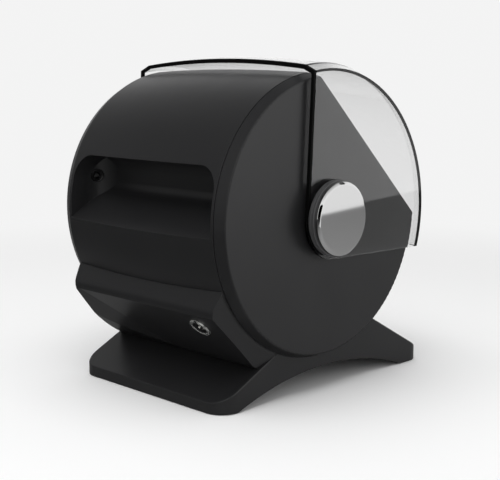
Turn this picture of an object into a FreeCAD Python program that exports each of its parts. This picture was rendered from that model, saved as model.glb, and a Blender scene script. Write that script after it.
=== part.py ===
"""Filament dryer box: a barrel-shaped drum on a stand, with a clear lid that turns on the drum's axis.

X runs along the drum's axis, the lid is at the front (-Y), and the grip recess and the power inlet are
at the back (+Y). Shapes are drawn about the drum's axis and then placed at its height above the floor.
"""

import FreeCAD, Part
import os
import re

import Sketcher

SIZES = {
    # Drum: a barrel lying on its side, cut by a flat plane where the lid opens
    "drum_lift": 35.2,
    "drum_half": 116.2,
    "drum_radius": 150.0,
    "drum_crown": 3.3,
    "shell_wall": 3.0,
    "flange_thick": 3.0,
    "flange_depth": 15.0,
    "opening_angle": 134.0,
    "opening_offset": 94.5,
    # Clearances: curved faces that are seated, turning fits, and pieces that pass each other
    "seat_gap": 0.15,
    "slip_gap": 0.1,
    "running_gap": 0.05,
    "passing_gap": 0.4,
    # Grip recess in the back of the drum
    "recess_end": 3.2,
    "recess_depth": 46.0,
    "recess_top": 60.0,
    "recess_floor": 20.0,
    "recess_slope": 32.0,
    "recess_corner": 25.0,
    "recess_soft": 16.0,
    "recess_wall": 3.0,
    # Filament outlet in the rounded end of the recess
    "outlet_angle": 31.0,
    "outlet_height": 35.0,
    "outlet_bore": 2.1,
    "outlet_radius": 5.5,
    "outlet_flange": 7.2,
    "outlet_flange_thick": 1.2,
    "outlet_tail": 2.0,
    # Side covers with the tubular bosses that carry the lid
    "cover_depth": 12.5,
    "cover_bevel": 5.0,
    "cover_wall": 3.0,
    "cover_edge": 2.0,
    "seam_groove": 1.0,
    "boss_radius": 18.0,
    "boss_bore": 11.0,
    "cover_screw_inset": 8.0,
    "cover_screw_post": 4.0,
    # Clear lid
    "lid_gap": 1.7,
    "lid_crown": 6.5,
    "cheek_gap": 3.8,
    "lid_chamfer_width": 14.0,
    "lid_chamfer_drop": 6.0,
    "lid_wall": 4.0,
    "apex_radius": 40.0,
    "apex_forward": 2.0,
    "apex_below": 3.5,
    "rear_lean": 3.0,
    "lower_lean": 1.0,
    "trim_depth": 3.0,
    "bush_wall": 3.0,
    "bush_flange": 5.0,
    # Collars and chrome caps at the two ends of the axis
    "collar_radius": 40.0,
    "collar_depth": 9.0,
    "collar_wall": 4.0,
    "collar_web": 3.0,
    "cap_radius": 38.5,
    "cap_depth": 5.0,
    "cap_edge_width": 2.2,
    "cap_edge_drop": 2.2,
    "cap_face": 2.4,
    "cap_skirt": 3.0,
    "stem_radius": 6.0,
    "stem_reach": 15.0,
    "stem_clearance": 2.0,
    # Encoder behind the control knob
    "encoder_side": 14.0,
    "encoder_depth": 7.0,
    "encoder_neck": 5.0,
    "encoder_neck_length": 5.0,
    "encoder_nut": 8.0,
    "encoder_nut_thick": 1.6,
    "encoder_shaft": 3.0,
    "encoder_shaft_sink": 4.0,
    # Spool rollers and their brackets
    "roller_gap": 6.0,
    "roller_angle": 27.0,
    "roller_radius": 10.0,
    "roller_shaft": 4.0,
    "bracket_thick": 5.0,
    "bracket_rise": 12.7,
    "bracket_margin": 14.5,
    "bracket_edge": 2.8,
    "bracket_taper": 11.5,
    "bracket_screw_spread": 38.0,
    "bracket_screw_margin": 3.4,
    # Vented floor over the heater and the fan
    "floor_height": 18.5,
    "floor_thick": 2.0,
    "vent_width": 3.0,
    "vent_length": 40.0,
    # Heater
    "heater_place": 36.0,
    "heater_length": 92.0,
    "heater_width": 54.0,
    "heater_height": 9.0,
    "heater_end": 4.0,
    "fin_gap": 4.4,
    "core_width": 14.0,
    "core_height": 4.0,
    # Fan
    "fan_place": -56.0,
    "fan_side": 40.0,
    "fan_height": 10.0,
    "fan_bore": 18.5,
    "fan_wheel": 17.6,
    "fan_hub": 8.0,
    "fan_boss_height": 3.5,
    "fan_strut": 3.0,
    "fan_strut_height": 2.0,
    "fan_pin": 1.5,
    "blade_thick": 1.4,
    "blade_lean": 4.0,
    "blade_height": 4.5,
    # Rear housing, a band round the drum with a sloping ledge, bevelled ends and a flat facet
    "housing_depth": 18.7,
    "housing_inset": 0.2,
    "housing_lip": 3.0,
    "housing_bevel": 4.0,
    "housing_wall": 3.0,
    "ledge_angle": 25.0,
    "ledge_slope": 60.0,
    "nose_radius": 16.0,
    "cavity_top": 33.0,
    "cavity_bottom": 57.0,
    "facet_angle": 44.0,
    "facet_cut": 5.0,
    "facet_fold": 50.0,
    "facet_end": 38.0,
    "facet_fade": 70.0,
    "housing_screw_inset": 28.0,
    "housing_screw_post": 4.0,
    "housing_screw_sink": 7.0,
    "housing_screw_upper": 37.0,
    "housing_screw_lower": 53.0,
    # Power inlet on the facet
    "inlet_place": -78.5,
    "inlet_rise": 18.0,
    "inlet_flange": 12.0,
    "inlet_flange_thick": 2.2,
    "inlet_body": 10.0,
    "inlet_depth": 10.0,
    "inlet_socket": 8.5,
    "inlet_socket_depth": 5.5,
    "inlet_nut": 13.0,
    "inlet_nut_thick": 2.5,
    "inlet_pin": 1.3,
    "inlet_pin_length": 4.0,
    "inlet_pin_orbit": 4.2,
    # Control board in the rear housing
    "board_length": 116.0,
    "board_end_gap": 4.0,
    "board_width": 52.0,
    "board_thick": 1.6,
    "board_gap": 3.7,
    "board_post": 3.5,
    "board_post_inset": 5.0,
    "chip_length": 18.0,
    "chip_width": 24.0,
    "chip_height": 3.0,
    # Humidity sensor on the inside of the left cover
    "sensor_length": 20.0,
    "sensor_width": 14.0,
    "sensor_thick": 5.0,
    "sensor_forward": 40.0,
    "sensor_below": 70.0,
    # Stand: two splayed feet with an arch between them
    "stand_inset": 0.2,
    "foot_corner": 22.0,
    "foot_rim": 12.0,
    "foot_edge": 1.5,
    "rear_contact": 24.0,
    "rear_slope": 26.7,
    "front_contact": 36.0,
    "front_slope": 29.1,
    "rear_sole": 23.5,
    "front_sole": 40.0,
    "arch_rise": 24.5,
    "stand_wall": 6.0,
    "pocket_start": 13.0,
    "rear_pocket_run": 42.0,
    "front_pocket_run": 58.0,
    "pad_length": 56.0,
    "pad_width": 12.0,
    "pad_thick": 2.4,
    "pad_proud": 0.8,
    "pad_place": 66.0,
    # Screws, all of one thread
    "screw_radius": 1.5,
    "screw_head_radius": 2.8,
    "screw_head_height": 1.8,
    "cover_screw_length": 9.0,
    "collar_screw_length": 7.0,
    "collar_screw_orbit": 14.5,
    "bracket_screw_length": 7.0,
    "stand_screw_length": 10.0,
    "stand_screw_seat": 5.0,
    "stand_screw_pitch": 60.0,
    "board_screw_length": 5.0,
    "housing_screw_length": 12.0,
}

COVER_SCREW_ANGLES = (75, 38, -35, -90, -140, -168)
BLADE_COUNT = 7
VENT_COUNT = 11
FIN_GAP_COUNT = 14
REACH = "400"

DERIVED = {
    # Places along the axis, from the seams outwards
    "cover_face": "drum_half + cover_depth",
    "cover_floor": "cover_face - cover_wall",
    "cheek_inner": "cover_face + cheek_gap",
    "lid_half": "cheek_inner + lid_wall",
    "lid_shoulder": "lid_half - lid_chamfer_width",
    "boss_end": "lid_half + passing_gap",
    "collar_end": "boss_end + collar_depth",
    "cap_back": "collar_end + passing_gap",
    "cap_end": "cap_back + cap_depth",
    "stem_end": "cap_end - cap_face - stem_reach",
    "flange_face": "drum_half - flange_thick",
    "bracket_face": "flange_face - bracket_thick",
    "recess_half": "drum_half - recess_end",
    "housing_half": "drum_half - housing_inset",
    "housing_screw_place": "housing_half - housing_screw_inset",
    "board_place": "housing_screw_place - housing_screw_post - board_end_gap - board_length / 2",
    "housing_screw_inner": "board_length / 2 - board_place + housing_screw_post + board_end_gap",
    "stand_half": "drum_half - stand_inset",
    # Radii and distances from the axis
    "drum_middle": "drum_radius + drum_crown",
    "chamber_radius": "drum_radius - shell_wall",
    "recess_back": "drum_radius - recess_depth",
    "cover_screw_orbit": "chamber_radius - cover_screw_inset",
    "lid_shoulder_radius": "drum_middle + lid_gap + lid_wall",
    "lid_edge_radius": "lid_shoulder_radius - lid_chamfer_drop",
    "lid_bore": "boss_radius + running_gap + bush_wall",
    "roller_orbit": "chamber_radius - roller_gap - roller_radius",
    "housing_radius": "drum_middle + housing_depth",
    "housing_rim": "drum_radius + housing_lip",
    "facet_distance": "housing_radius - facet_cut",
    "cavity_radius": "facet_distance - housing_wall",
    "board_distance": "drum_middle + board_gap",
    # Distances below the axis and to each side of it
    "axis_height": "drum_middle + drum_lift",
    "stand_bottom": "axis_height - pad_proud",
    "floor_drop": "chamber_radius - floor_height",
    "floor_under": "floor_drop + floor_thick",
    "roller_drop": "roller_orbit * cos(roller_angle)",
    "roller_spread": "roller_orbit * sin(roller_angle)",
    "bracket_top": "roller_drop - bracket_rise",
    "bracket_half": "roller_spread + bracket_margin",
    "bracket_foot": "roller_spread - bracket_taper",
    "bracket_shoulder": "sqrt((chamber_radius - bracket_edge)^2 - bracket_half^2)",
    "bracket_bottom": "sqrt((chamber_radius - bracket_edge)^2 - bracket_foot^2)",
    # Feet: each slope leaves the drum at an angle and runs down to the rim at its tip
    "rear_start": "drum_radius * sin(rear_contact)",
    "rear_fall": "axis_height - foot_rim - drum_radius * cos(rear_contact)",
    "foot_rear": "rear_start + rear_fall / tan(rear_slope)",
    "front_start": "drum_radius * sin(front_contact)",
    "front_fall": "axis_height - foot_rim - drum_radius * cos(front_contact)",
    "foot_front": "front_start + front_fall / tan(front_slope)",
    "arch_rear": "foot_rear - rear_sole",
    "arch_front": "foot_front - front_sole",
    # The nose of the rear housing is an arc that touches the ledge and the housing's round back
    "ledge_offset": "drum_middle * sin(ledge_slope - ledge_angle)",
    "nose_inset": "ledge_offset - nose_radius",
    "nose_along": "sqrt((housing_radius - nose_radius)^2 - nose_inset^2)",
    "nose_y": "nose_inset * sin(ledge_slope) + nose_along * cos(ledge_slope)",
    "nose_z": "nose_inset * cos(ledge_slope) - nose_along * sin(ledge_slope)",
    # The axis stands behind the middle, between the front foot's tip and the drum's back
    "axis_y": "(foot_front - drum_middle) / 2",
}

doc = FreeCAD.newDocument("filament_dryer_box")
sheet = doc.addObject("Spreadsheet::Sheet", "Sizes")
nodes = []


def fill_sheet():
    """Writes every driving dimension into the sheet under its own name."""
    for row, (name, size) in enumerate(SIZES.items(), start=1):
        sheet.set(f"A{row}", name)
        sheet.set(f"B{row}", str(size))
        sheet.setAlias(f"B{row}", name)
    doc.recompute()


def bound(formula):
    """Turns the names in a formula into references to the sheet."""

    def spell_out(word):
        name = word.group()
        if name in DERIVED:
            return "(" + bound(DERIVED[name]) + ")"
        return "Sizes." + name if name in SIZES else name

    return re.sub(r"[a-z][a-z_]*", spell_out, formula)


def value(formula):
    """The number that a formula gives with the sheet's present sizes."""
    return float(sheet.evalExpression(bound(formula)))


def vector(x, y, z):
    """A point whose coordinates are formulas."""
    return FreeCAD.Vector(value(x), value(y), value(z))


def place(item, x="0", y="0", z="0", angle=None, about=(1, 0, 0)):
    """Stands a finished piece on the drum's axis, moved and turned as its formulas say."""
    item.Placement = FreeCAD.Placement(FreeCAD.Vector(), FreeCAD.Rotation(FreeCAD.Vector(*about), 1))
    item.setExpression(".Placement.Base.x", bound(x))
    item.setExpression(".Placement.Base.y", bound(f"axis_y + {y}"))
    item.setExpression(".Placement.Base.z", bound(f"axis_height + {z}"))
    item.setExpression(".Placement.Rotation.Angle", bound(angle or "0"))


def keep_node(item, label, **placing):
    """Names a finished piece, places it and lists it among the nodes."""
    item.Label = label
    place(item, **placing)
    nodes.append(item)
    return item


def new_body(name):
    """An empty body."""
    return doc.addObject("PartDesign::Body", name)


def new_sketch(body, plane, offset="0"):
    """A sketch on one of a body's own planes, moved along that plane's normal."""
    sketch = body.newObject("Sketcher::SketchObject", body.Name + "_sketch")
    support = next(item for item in body.Origin.OriginFeatures if item.Role == plane)
    sketch.AttachmentSupport = (support, [""])
    sketch.MapMode = "FlatFace"
    sketch.setExpression("AttachmentOffset.Base.z", bound(offset))
    return sketch


def pin_point(sketch, edge, end, x, y):
    """Ties a point of a sketch to its two coordinates."""
    for kind, formula in (("DistanceX", x), ("DistanceY", y)):
        rule = Sketcher.Constraint(kind, -1, 1, edge, end, value(formula))
        sketch.setExpression(f"Constraints[{sketch.addConstraint(rule)}]", bound(formula))


def pin_radius(sketch, edge, radius):
    """Ties an arc or a circle of a sketch to its radius."""
    rule = Sketcher.Constraint("Radius", edge, value(radius))
    sketch.setExpression(f"Constraints[{sketch.addConstraint(rule)}]", bound(radius))


def arc_edge(start, end, radius, turn):
    """A minor arc between two points, anticlockwise for a turn of 1 and clockwise for -1."""
    across = end - start
    rise = (radius**2 - (across.Length / 2) ** 2) ** 0.5
    side = FreeCAD.Vector(-across.y, across.x, 0).normalize()
    centre = start + across / 2 + side * (rise * turn)
    first, last = (start, end) if turn > 0 else (end, start)
    circle = Part.Circle(centre, FreeCAD.Vector(0, 0, 1), radius)
    return Part.ArcOfCircle(circle, circle.parameter(first), circle.parameter(last))


def draw_outline(sketch, points, arcs=None):
    """Draws a closed outline; arcs gives a side's radius and turn by the side's number."""
    arcs = arcs or {}
    spots = [vector(x, y, "0") for x, y in points]
    count = len(spots)
    first = sketch.GeometryCount
    starts = []
    for side in range(count):
        radius, turn = arcs.get(side, ("0", 1))
        ends = (spots[side], spots[(side + 1) % count])
        edge = arc_edge(*ends, value(radius), turn) if side in arcs else Part.LineSegment(*ends)
        sketch.addGeometry(edge, False)
        starts.append(1 if turn > 0 else 2)
    for side in range(count):
        after = (side + 1) % count
        rule = Sketcher.Constraint(
            "Coincident", first + side, 3 - starts[side], first + after, starts[after]
        )
        sketch.addConstraint(rule)
    for side, (x, y) in enumerate(points):
        pin_point(sketch, first + side, starts[side], x, y)
        if side in arcs:
            pin_radius(sketch, first + side, arcs[side][0])


def draw_circle(sketch, x, y, radius):
    """Draws a circle about a point."""
    circle = Part.Circle(vector(x, y, "0"), FreeCAD.Vector(0, 0, 1), value(radius))
    edge = sketch.addGeometry(circle, False)
    pin_point(sketch, edge, 3, x, y)
    pin_radius(sketch, edge, radius)


def box_points(x, y, width, height):
    """The corners of a rectangle about a point."""
    return [
        (f"{x} - ({width}) / 2", f"{y} - ({height}) / 2"),
        (f"{x} + ({width}) / 2", f"{y} - ({height}) / 2"),
        (f"{x} + ({width}) / 2", f"{y} + ({height}) / 2"),
        (f"{x} - ({width}) / 2", f"{y} + ({height}) / 2"),
    ]


def bar_points(half, radius, bore="0"):
    """The section of a round bar or tube about the axis, by its half length."""
    return [(f"-{half}", bore), (half, bore), (half, radius), (f"-{half}", radius)]


def polar(radius, angle):
    """A point on a circle about the axis, by its angle up from the back."""
    return (f"({radius}) * cos({angle})", f"({radius}) * sin({angle})")


def bulge(half, rise):
    """The radius of an arc that rises by a given height over a given half width."""
    return f"((({half})^2 + ({rise})^2) / (2 * ({rise})))"


def pad(body, sketch, length, symmetric=False, backwards=False):
    """Raises a sketch into a solid."""
    feature = body.newObject("PartDesign::Pad", body.Name + "_pad")
    feature.Profile = sketch
    feature.SideType = "Symmetric" if symmetric else "One side"
    feature.Reversed = backwards
    feature.setExpression("Length", bound(length))
    doc.recompute()
    return feature


def cut(body, sketch, depth=None, backwards=False):
    """Cuts a sketch out of a body, right through both ways unless a depth is given."""
    before = body.Shape.Volume
    feature = body.newObject("PartDesign::Pocket", body.Name + "_cut")
    feature.Profile = sketch
    if depth is None:
        feature.SideType = "Symmetric"
        feature.Type = "ThroughAll"
    else:
        feature.Reversed = backwards
        feature.setExpression("Length", bound(depth))
    doc.recompute()
    if body.Shape.Volume >= before:
        raise RuntimeError(f"{feature.Name} removed nothing")
    return feature


def spin(body, sketch, axis="H_Axis"):
    """Turns a sketch once round one of its own axes."""
    feature = body.newObject("PartDesign::Revolution", body.Name + "_spin")
    feature.Profile = sketch
    feature.ReferenceAxis = (sketch, [axis])
    feature.Angle = 360
    doc.recompute()
    return feature


def spun_body(name, points, arcs=None):
    """A body turned about X from an outline of places along the axis and radii."""
    body = new_body(name)
    sketch = new_sketch(body, "XY_Plane")
    draw_outline(sketch, points, arcs)
    spin(body, sketch)
    return body


def studded_body(name, points):
    """A body turned about its own Y axis from an outline of radii and heights."""
    body = new_body(name)
    sketch = new_sketch(body, "XY_Plane")
    draw_outline(sketch, points)
    spin(body, sketch, "V_Axis")
    return body


def trim_to(body, points, arcs=None):
    """Cuts away all of a body that lies outside an outline seen along the axis."""
    sketch = new_sketch(body, "YZ_Plane")
    draw_outline(sketch, box_points("0", "0", f"4 * {REACH}", f"4 * {REACH}"))
    draw_outline(sketch, points, arcs)
    cut(body, sketch)


def opening_point(offset, along):
    """A point at a distance towards the lid opening and a distance down along it."""
    y = f"({offset}) * cos(opening_angle) - ({along}) * sin(opening_angle)"
    z = f"({offset}) * sin(opening_angle) + ({along}) * cos(opening_angle)"
    return y, z


def cut_opening(body, offset):
    """Cuts away what lies beyond the flat plane of the lid opening."""
    beyond = f"{offset} + {REACH}"
    corners = [(offset, f"-{REACH}"), (beyond, f"-{REACH}"), (beyond, REACH), (offset, REACH)]
    sketch = new_sketch(body, "YZ_Plane")
    draw_outline(sketch, [opening_point(*corner) for corner in corners])
    cut(body, sketch)


def repeat_along(body, feature, length, count):
    """Repeats a cut in a row along the axis."""
    row = body.newObject("PartDesign::LinearPattern", body.Name + "_row")
    row.Originals = [feature]
    row.Direction = (feature.Profile[0], ["H_Axis"])
    row.setExpression("Length", bound(length))
    row.Occurrences = count
    body.Tip = row
    doc.recompute()


def round_edges(body, radius, chosen):
    """Rounds those edges of a body that a test picks."""
    base = body.Tip
    names = [f"Edge{i}" for i, edge in enumerate(base.Shape.Edges, start=1) if chosen(edge)]
    if not names:
        raise RuntimeError(f"{body.Name} has no such edge to round")
    feature = body.newObject("PartDesign::Fillet", body.Name + "_round")
    feature.Base = (base, names)
    feature.setExpression("Radius", bound(radius))
    doc.recompute()
    return feature


def combine(kind, name, base, tool):
    """A cut or a common solid of two objects."""
    feature = doc.addObject("Part::" + kind, name)
    feature.Base = base
    feature.Tool = tool
    doc.recompute()
    return feature


def fuse_all(name, items):
    """One solid out of several objects."""
    feature = doc.addObject("Part::MultiFuse", name)
    feature.Shapes = items
    doc.recompute()
    return feature


def shape_object(name, shapes):
    """An object that holds a group of separate solids."""
    feature = doc.addObject("Part::Feature", name)
    feature.Shape = Part.makeCompound(shapes)
    return feature


def rod(start, direction, radius, length):
    """A round bar or a drilled hole."""
    return Part.makeCylinder(value(radius), value(length), start, direction)


def screw(seat, direction, length):
    """A pan-head screw whose head rests on its seat and whose shank runs along a direction."""
    head = Part.makeCylinder(value("screw_head_radius"), value("screw_head_height"), seat, direction * -1)
    return head.fuse(rod(seat, direction, "screw_radius", length)).removeSplitter()


def axis_vector(side=1):
    """The direction of the drum's axis towards one end."""
    return FreeCAD.Vector(side, 0, 0)


def near(first, second):
    """Whether two lengths are the same to a hundredth of a millimetre."""
    return abs(first - second) < 0.01


def barrel_body(name, extra):
    """The drum's outer form as a solid, larger all round by a clearance."""
    half = f"(drum_half + {extra})"
    radius = f"(drum_radius + {extra})"
    return spun_body(name, bar_points(half, radius), {2: (bulge(half, "drum_crown"), 1)})


def cover_screw_spots():
    """The places of one cover's screws, seen along the axis."""
    return [polar("cover_screw_orbit", str(angle)) for angle in COVER_SCREW_ANGLES]


def roller_spots():
    """The places of the front and the rear roller, seen along the axis."""
    z = "-roller_orbit * cos(roller_angle)"
    return {
        "front": ("-roller_orbit * sin(roller_angle)", z),
        "rear": ("roller_orbit * sin(roller_angle)", z),
    }


def bracket_screw_spots():
    """The places of one bracket's screws, seen along the axis."""
    drop = "bracket_screw_margin - bracket_bottom"
    return [(f"{side} * bracket_screw_spread", drop) for side in (-1, 1)]


def stand_screw_spots():
    """The places along the axis of the screws that hold the stand."""
    return [f"{step} * stand_screw_pitch" for step in (-1.5, -0.5, 0.5, 1.5)]


def housing_screw_spots():
    """The place along the axis and the direction of each screw that holds the rear housing."""
    spots = []
    for along, angle in (
        ("housing_screw_place", "housing_screw_upper"),
        ("housing_screw_place", "housing_screw_lower"),
        ("0 - housing_screw_inner", "housing_screw_upper"),
        ("0 - housing_screw_place", "housing_screw_lower"),
    ):
        spots.append((along, vector("0", f"cos({angle})", f"-sin({angle})")))
    return spots


def board_corner_spots():
    """The corners of the control board where posts and screws are, in the board's own plane."""
    spots = []
    for end in (-1, 1):
        for edge in (-1, 1):
            along = f"board_place + {end} * (board_length / 2 - board_post_inset)"
            across = f"{edge} * (board_width / 2 - board_post_inset)"
            spots.append((along, across))
    return spots


def on_facet(along, distance, across):
    """A point given in the facet's own directions: along the axis, outwards, and up the facet."""
    y = f"({distance}) * cos(facet_angle) + ({across}) * sin(facet_angle)"
    z = f"({across}) * cos(facet_angle) - ({distance}) * sin(facet_angle)"
    return vector(along, y, z)


def facet_outward():
    """The direction in which the facet faces."""
    return vector("0", "cos(facet_angle)", "-sin(facet_angle)")


def outline_body(name, plane, points, arcs, length):
    """A body raised both ways from an outline on one of its planes."""
    body = new_body(name)
    sketch = new_sketch(body, plane)
    draw_outline(sketch, points, arcs)
    pad(body, sketch, length, symmetric=True)
    return body


def recess_body(name, wall):
    """The space of the grip recess, larger by a wall, with rounded back corners, top corners and folds."""
    half = f"(recess_half + {wall})"
    back = f"(recess_back - {wall})"
    top = f"(recess_top + {wall})"
    corner = f"(recess_corner + {wall})"
    soft = f"(recess_soft + {wall})"
    floor = f"(recess_floor - {wall} / cos(recess_slope) + {wall} * tan(recess_slope))"
    foot = f"({floor} - ({REACH} - {back}) * tan(recess_slope))"
    fold = f"({soft} * tan(45 - recess_slope / 2))"
    side = [
        (back, f"{floor} + {fold}"),
        (f"{back} + {fold} * cos(recess_slope)", f"{floor} - {fold} * sin(recess_slope)"),
        (REACH, foot),
        (REACH, top),
        (f"{back} + {soft}", top),
        (back, f"{top} - {soft}"),
    ]
    profile = outline_body(name + "_side", "YZ_Plane", side, {0: (soft, 1), 4: (soft, 1)}, f"2 * {half}")
    plan = [
        (f"-{half}", f"{back} + {corner}"),
        (f"{corner} - {half}", back),
        (f"{half} - {corner}", back),
        (half, f"{back} + {corner}"),
        (half, REACH),
        (f"-{half}", REACH),
    ]
    rounds = {0: (corner, 1), 2: (corner, 1)}
    floor_plan = outline_body(name + "_plan", "XY_Plane", plan, rounds, f"2 * {REACH}")
    face = [
        (f"-{half}", f"-{REACH}"),
        (half, f"-{REACH}"),
        (half, f"{top} - {corner}"),
        (f"{half} - {corner}", top),
        (f"{corner} - {half}", top),
        (f"-{half}", f"{top} - {corner}"),
    ]
    rounds = {2: (corner, 1), 4: (corner, 1)}
    elevation = outline_body(name + "_face", "XZ_Plane", face, rounds, f"2 * {REACH}")
    return combine("Common", name, combine("Common", name + "_block", profile, floor_plan), elevation)


def outlet_place():
    """Where the outlet's own frame stands: at the middle of the recess's rounded end."""
    return {
        "x": "recess_half - recess_corner",
        "y": "recess_back + recess_corner",
        "z": "outlet_height",
        "angle": "-outlet_angle",
        "about": (0, 0, 1),
    }


def make_outlet_bush():
    """The bush that filament leaves through, with its flange sunk into the recess's wall."""
    face = "recess_corner"
    seat = f"({face} + outlet_flange_thick)"
    end = f"({face} + recess_wall + outlet_tail)"
    points = [
        (face, "outlet_bore"),
        (end, "outlet_bore"),
        (end, "outlet_radius"),
        (seat, "outlet_radius"),
        (seat, "outlet_flange"),
        (face, "outlet_flange"),
    ]
    keep_node(spun_body("outlet_bush", points), "filament_outlet_bush", **outlet_place())


def outlet_hole():
    """The stepped hole that the outlet bush sits in."""
    face = "(recess_corner - outlet_flange)"
    seat = "(recess_corner + outlet_flange_thick)"
    end = "(recess_corner + recess_wall + 3 * outlet_tail)"
    through = "(outlet_radius + slip_gap)"
    step = "(outlet_flange + slip_gap)"
    points = [(face, "0"), (end, "0"), (end, through), (seat, through), (seat, step), (face, step)]
    hole = spun_body("outlet_hole", points)
    spot = outlet_place()
    hole.Placement = FreeCAD.Placement(
        FreeCAD.Vector(),
        FreeCAD.Rotation(FreeCAD.Vector(*spot["about"]), value(spot["angle"])),
    )
    for name in "xyz":
        hole.setExpression(f".Placement.Base.{name}", bound(spot[name]))
    hole.setExpression(".Placement.Rotation.Angle", bound(spot["angle"]))
    return hole


def shell_holes():
    """Every screw hole in the drum shell."""
    holes = []
    for side in (-1, 1):
        start = f"{side} * (flange_face - flange_thick)"
        for y, z in cover_screw_spots() + bracket_screw_spots():
            holes.append(rod(vector(start, y, z), axis_vector(side), "screw_radius", "3 * flange_thick"))
    for along in stand_screw_spots():
        start = vector(along, "0", "-drum_middle - stand_screw_seat")
        holes.append(rod(start, FreeCAD.Vector(0, 0, 1), "screw_radius", "stand_screw_length"))
    for along, outward in housing_screw_spots():
        start = vector(along, "0", "0") + outward * value("chamber_radius - shell_wall")
        holes.append(rod(start, outward, "screw_radius", "4 * shell_wall + drum_crown"))
    for along, across in board_corner_spots():
        start = on_facet(along, "board_distance + board_thick - board_screw_length", across)
        holes.append(rod(start, facet_outward(), "screw_radius", "board_screw_length"))
    return shape_object("shell_holes", holes)


def make_drum_shell():
    """The barrel with its end flanges, the lid opening, the grip recess and the board's posts."""
    flange_inside = "(chamber_radius - flange_depth)"
    points = [
        ("-drum_half", flange_inside),
        ("-flange_face", flange_inside),
        ("-flange_face", "chamber_radius"),
        ("flange_face", "chamber_radius"),
        ("flange_face", flange_inside),
        ("drum_half", flange_inside),
        ("drum_half", "drum_radius"),
        ("-drum_half", "drum_radius"),
    ]
    ring = spun_body("shell_ring", points, {6: (bulge("drum_half", "drum_crown"), 1)})
    cut_opening(ring, "opening_offset")
    walls = recess_body("recess_walls", "recess_wall")
    liner = combine("Common", "recess_liner", walls, barrel_body("barrel", "0"))
    reach = "board_distance - chamber_radius + 2 * shell_wall"
    posts = []
    for along, across in board_corner_spots():
        start = on_facet(along, f"board_distance - ({reach})", across)
        posts.append(rod(start, facet_outward(), "board_post", reach))
    chamber = spun_body("chamber", bar_points("drum_half", "chamber_radius"))
    stubs = combine("Cut", "board_stubs", shape_object("board_posts", posts), chamber)
    joined = fuse_all("shell_joined", [ring, liner, stubs])
    hollow = combine("Cut", "shell_hollow", joined, recess_body("recess_space", "0"))
    outlet = combine("Cut", "shell_outlet", hollow, outlet_hole())
    keep_node(combine("Cut", "shell_drilled", outlet, shell_holes()), "drum_shell")


def make_side_cover(label, side):
    """A shallow tray with a bevelled rim, a boss for the lid to turn on and posts for its screws."""
    seam = "drum_half"
    neck = "(encoder_neck + slip_gap)"
    slope = "cover_bevel / cover_depth"
    points = [
        (seam, neck),
        (seam, "drum_radius - seam_groove"),
        (f"{seam} + seam_groove", f"drum_radius - seam_groove * {slope}"),
        ("cover_face", "drum_radius - cover_bevel"),
        ("cover_face", "boss_radius"),
        ("boss_end", "boss_radius"),
        ("boss_end", "boss_bore"),
        ("cover_face", "boss_bore"),
        ("cover_face", neck),
    ]
    cover = spun_body(label, [(f"{side} * ({x})", radius) for x, radius in points])
    rim = value("drum_radius - cover_bevel")
    round_edges(cover, "cover_edge", lambda edge: near(edge.BoundBox.YLength / 2, rim))
    cut_opening(cover, "opening_offset")
    inside = "(drum_radius - cover_bevel - cover_wall)"
    chord = "(opening_offset - cover_wall)"
    spread = f"sqrt({inside}^2 - {chord}^2)"
    tray = new_sketch(cover, "YZ_Plane", f"{side} * drum_half")
    corners = [
        opening_point(chord, f"{spread}"),
        polar(inside, "opening_angle + 180"),
        opening_point(chord, f"-{spread}"),
    ]
    draw_outline(tray, corners, {0: (inside, 1), 1: (inside, 1)})
    cut(cover, tray, "cover_depth - cover_wall", backwards=side > 0)
    posts = new_sketch(cover, "YZ_Plane", f"{side} * drum_half")
    for y, z in cover_screw_spots():
        draw_circle(posts, y, z, "cover_screw_post")
    pad(cover, posts, "cover_depth - cover_wall", backwards=side < 0)
    pilots = new_sketch(cover, "YZ_Plane", f"{side} * drum_half")
    for y, z in cover_screw_spots():
        draw_circle(pilots, y, z, "screw_radius")
    cut(cover, pilots, "cover_screw_length - flange_thick + slip_gap", backwards=side > 0)
    threads = new_sketch(cover, "YZ_Plane", f"{side} * boss_end")
    for turn in (90, 210, 330):
        draw_circle(threads, *polar("collar_screw_orbit", str(turn)), "screw_radius")
    cut(cover, threads, "collar_screw_length - collar_web + slip_gap", backwards=side < 0)
    keep_node(cover, label)


def lid_section(inner_side):
    """The lid's outline along the axis, behind or in front of the strip on its rear rim."""
    turn_y = "(0 - apex_forward)"
    turn_z = "(0 - apex_below)"
    rear = (f"{turn_y} + apex_radius * cos(rear_lean)", f"{turn_z} + apex_radius * sin(rear_lean)")
    inner = (f"{rear[0]} - trim_depth * cos(rear_lean)", f"{rear[1]} - trim_depth * sin(rear_lean)")
    rise = (f"0 - {REACH} * sin(rear_lean)", f"{REACH} * cos(rear_lean)")
    inner_top = (f"{inner[0]} + {rise[0]}", f"{inner[1]} + {rise[1]}")
    if not inner_side:
        return [rear, (f"{rear[0]} + {rise[0]}", f"{rear[1]} + {rise[1]}"), inner_top, inner], {}
    low = (f"{turn_y} + apex_radius * sin(lower_lean)", f"{turn_z} - apex_radius * cos(lower_lean)")
    low_front = (f"{low[0]} - {REACH} * cos(lower_lean)", f"{low[1]} - {REACH} * sin(lower_lean)")
    corner = (low_front[0], inner_top[1])
    return [rear, inner, inner_top, corner, low_front, low], {5: ("apex_radius", 1)}


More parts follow.
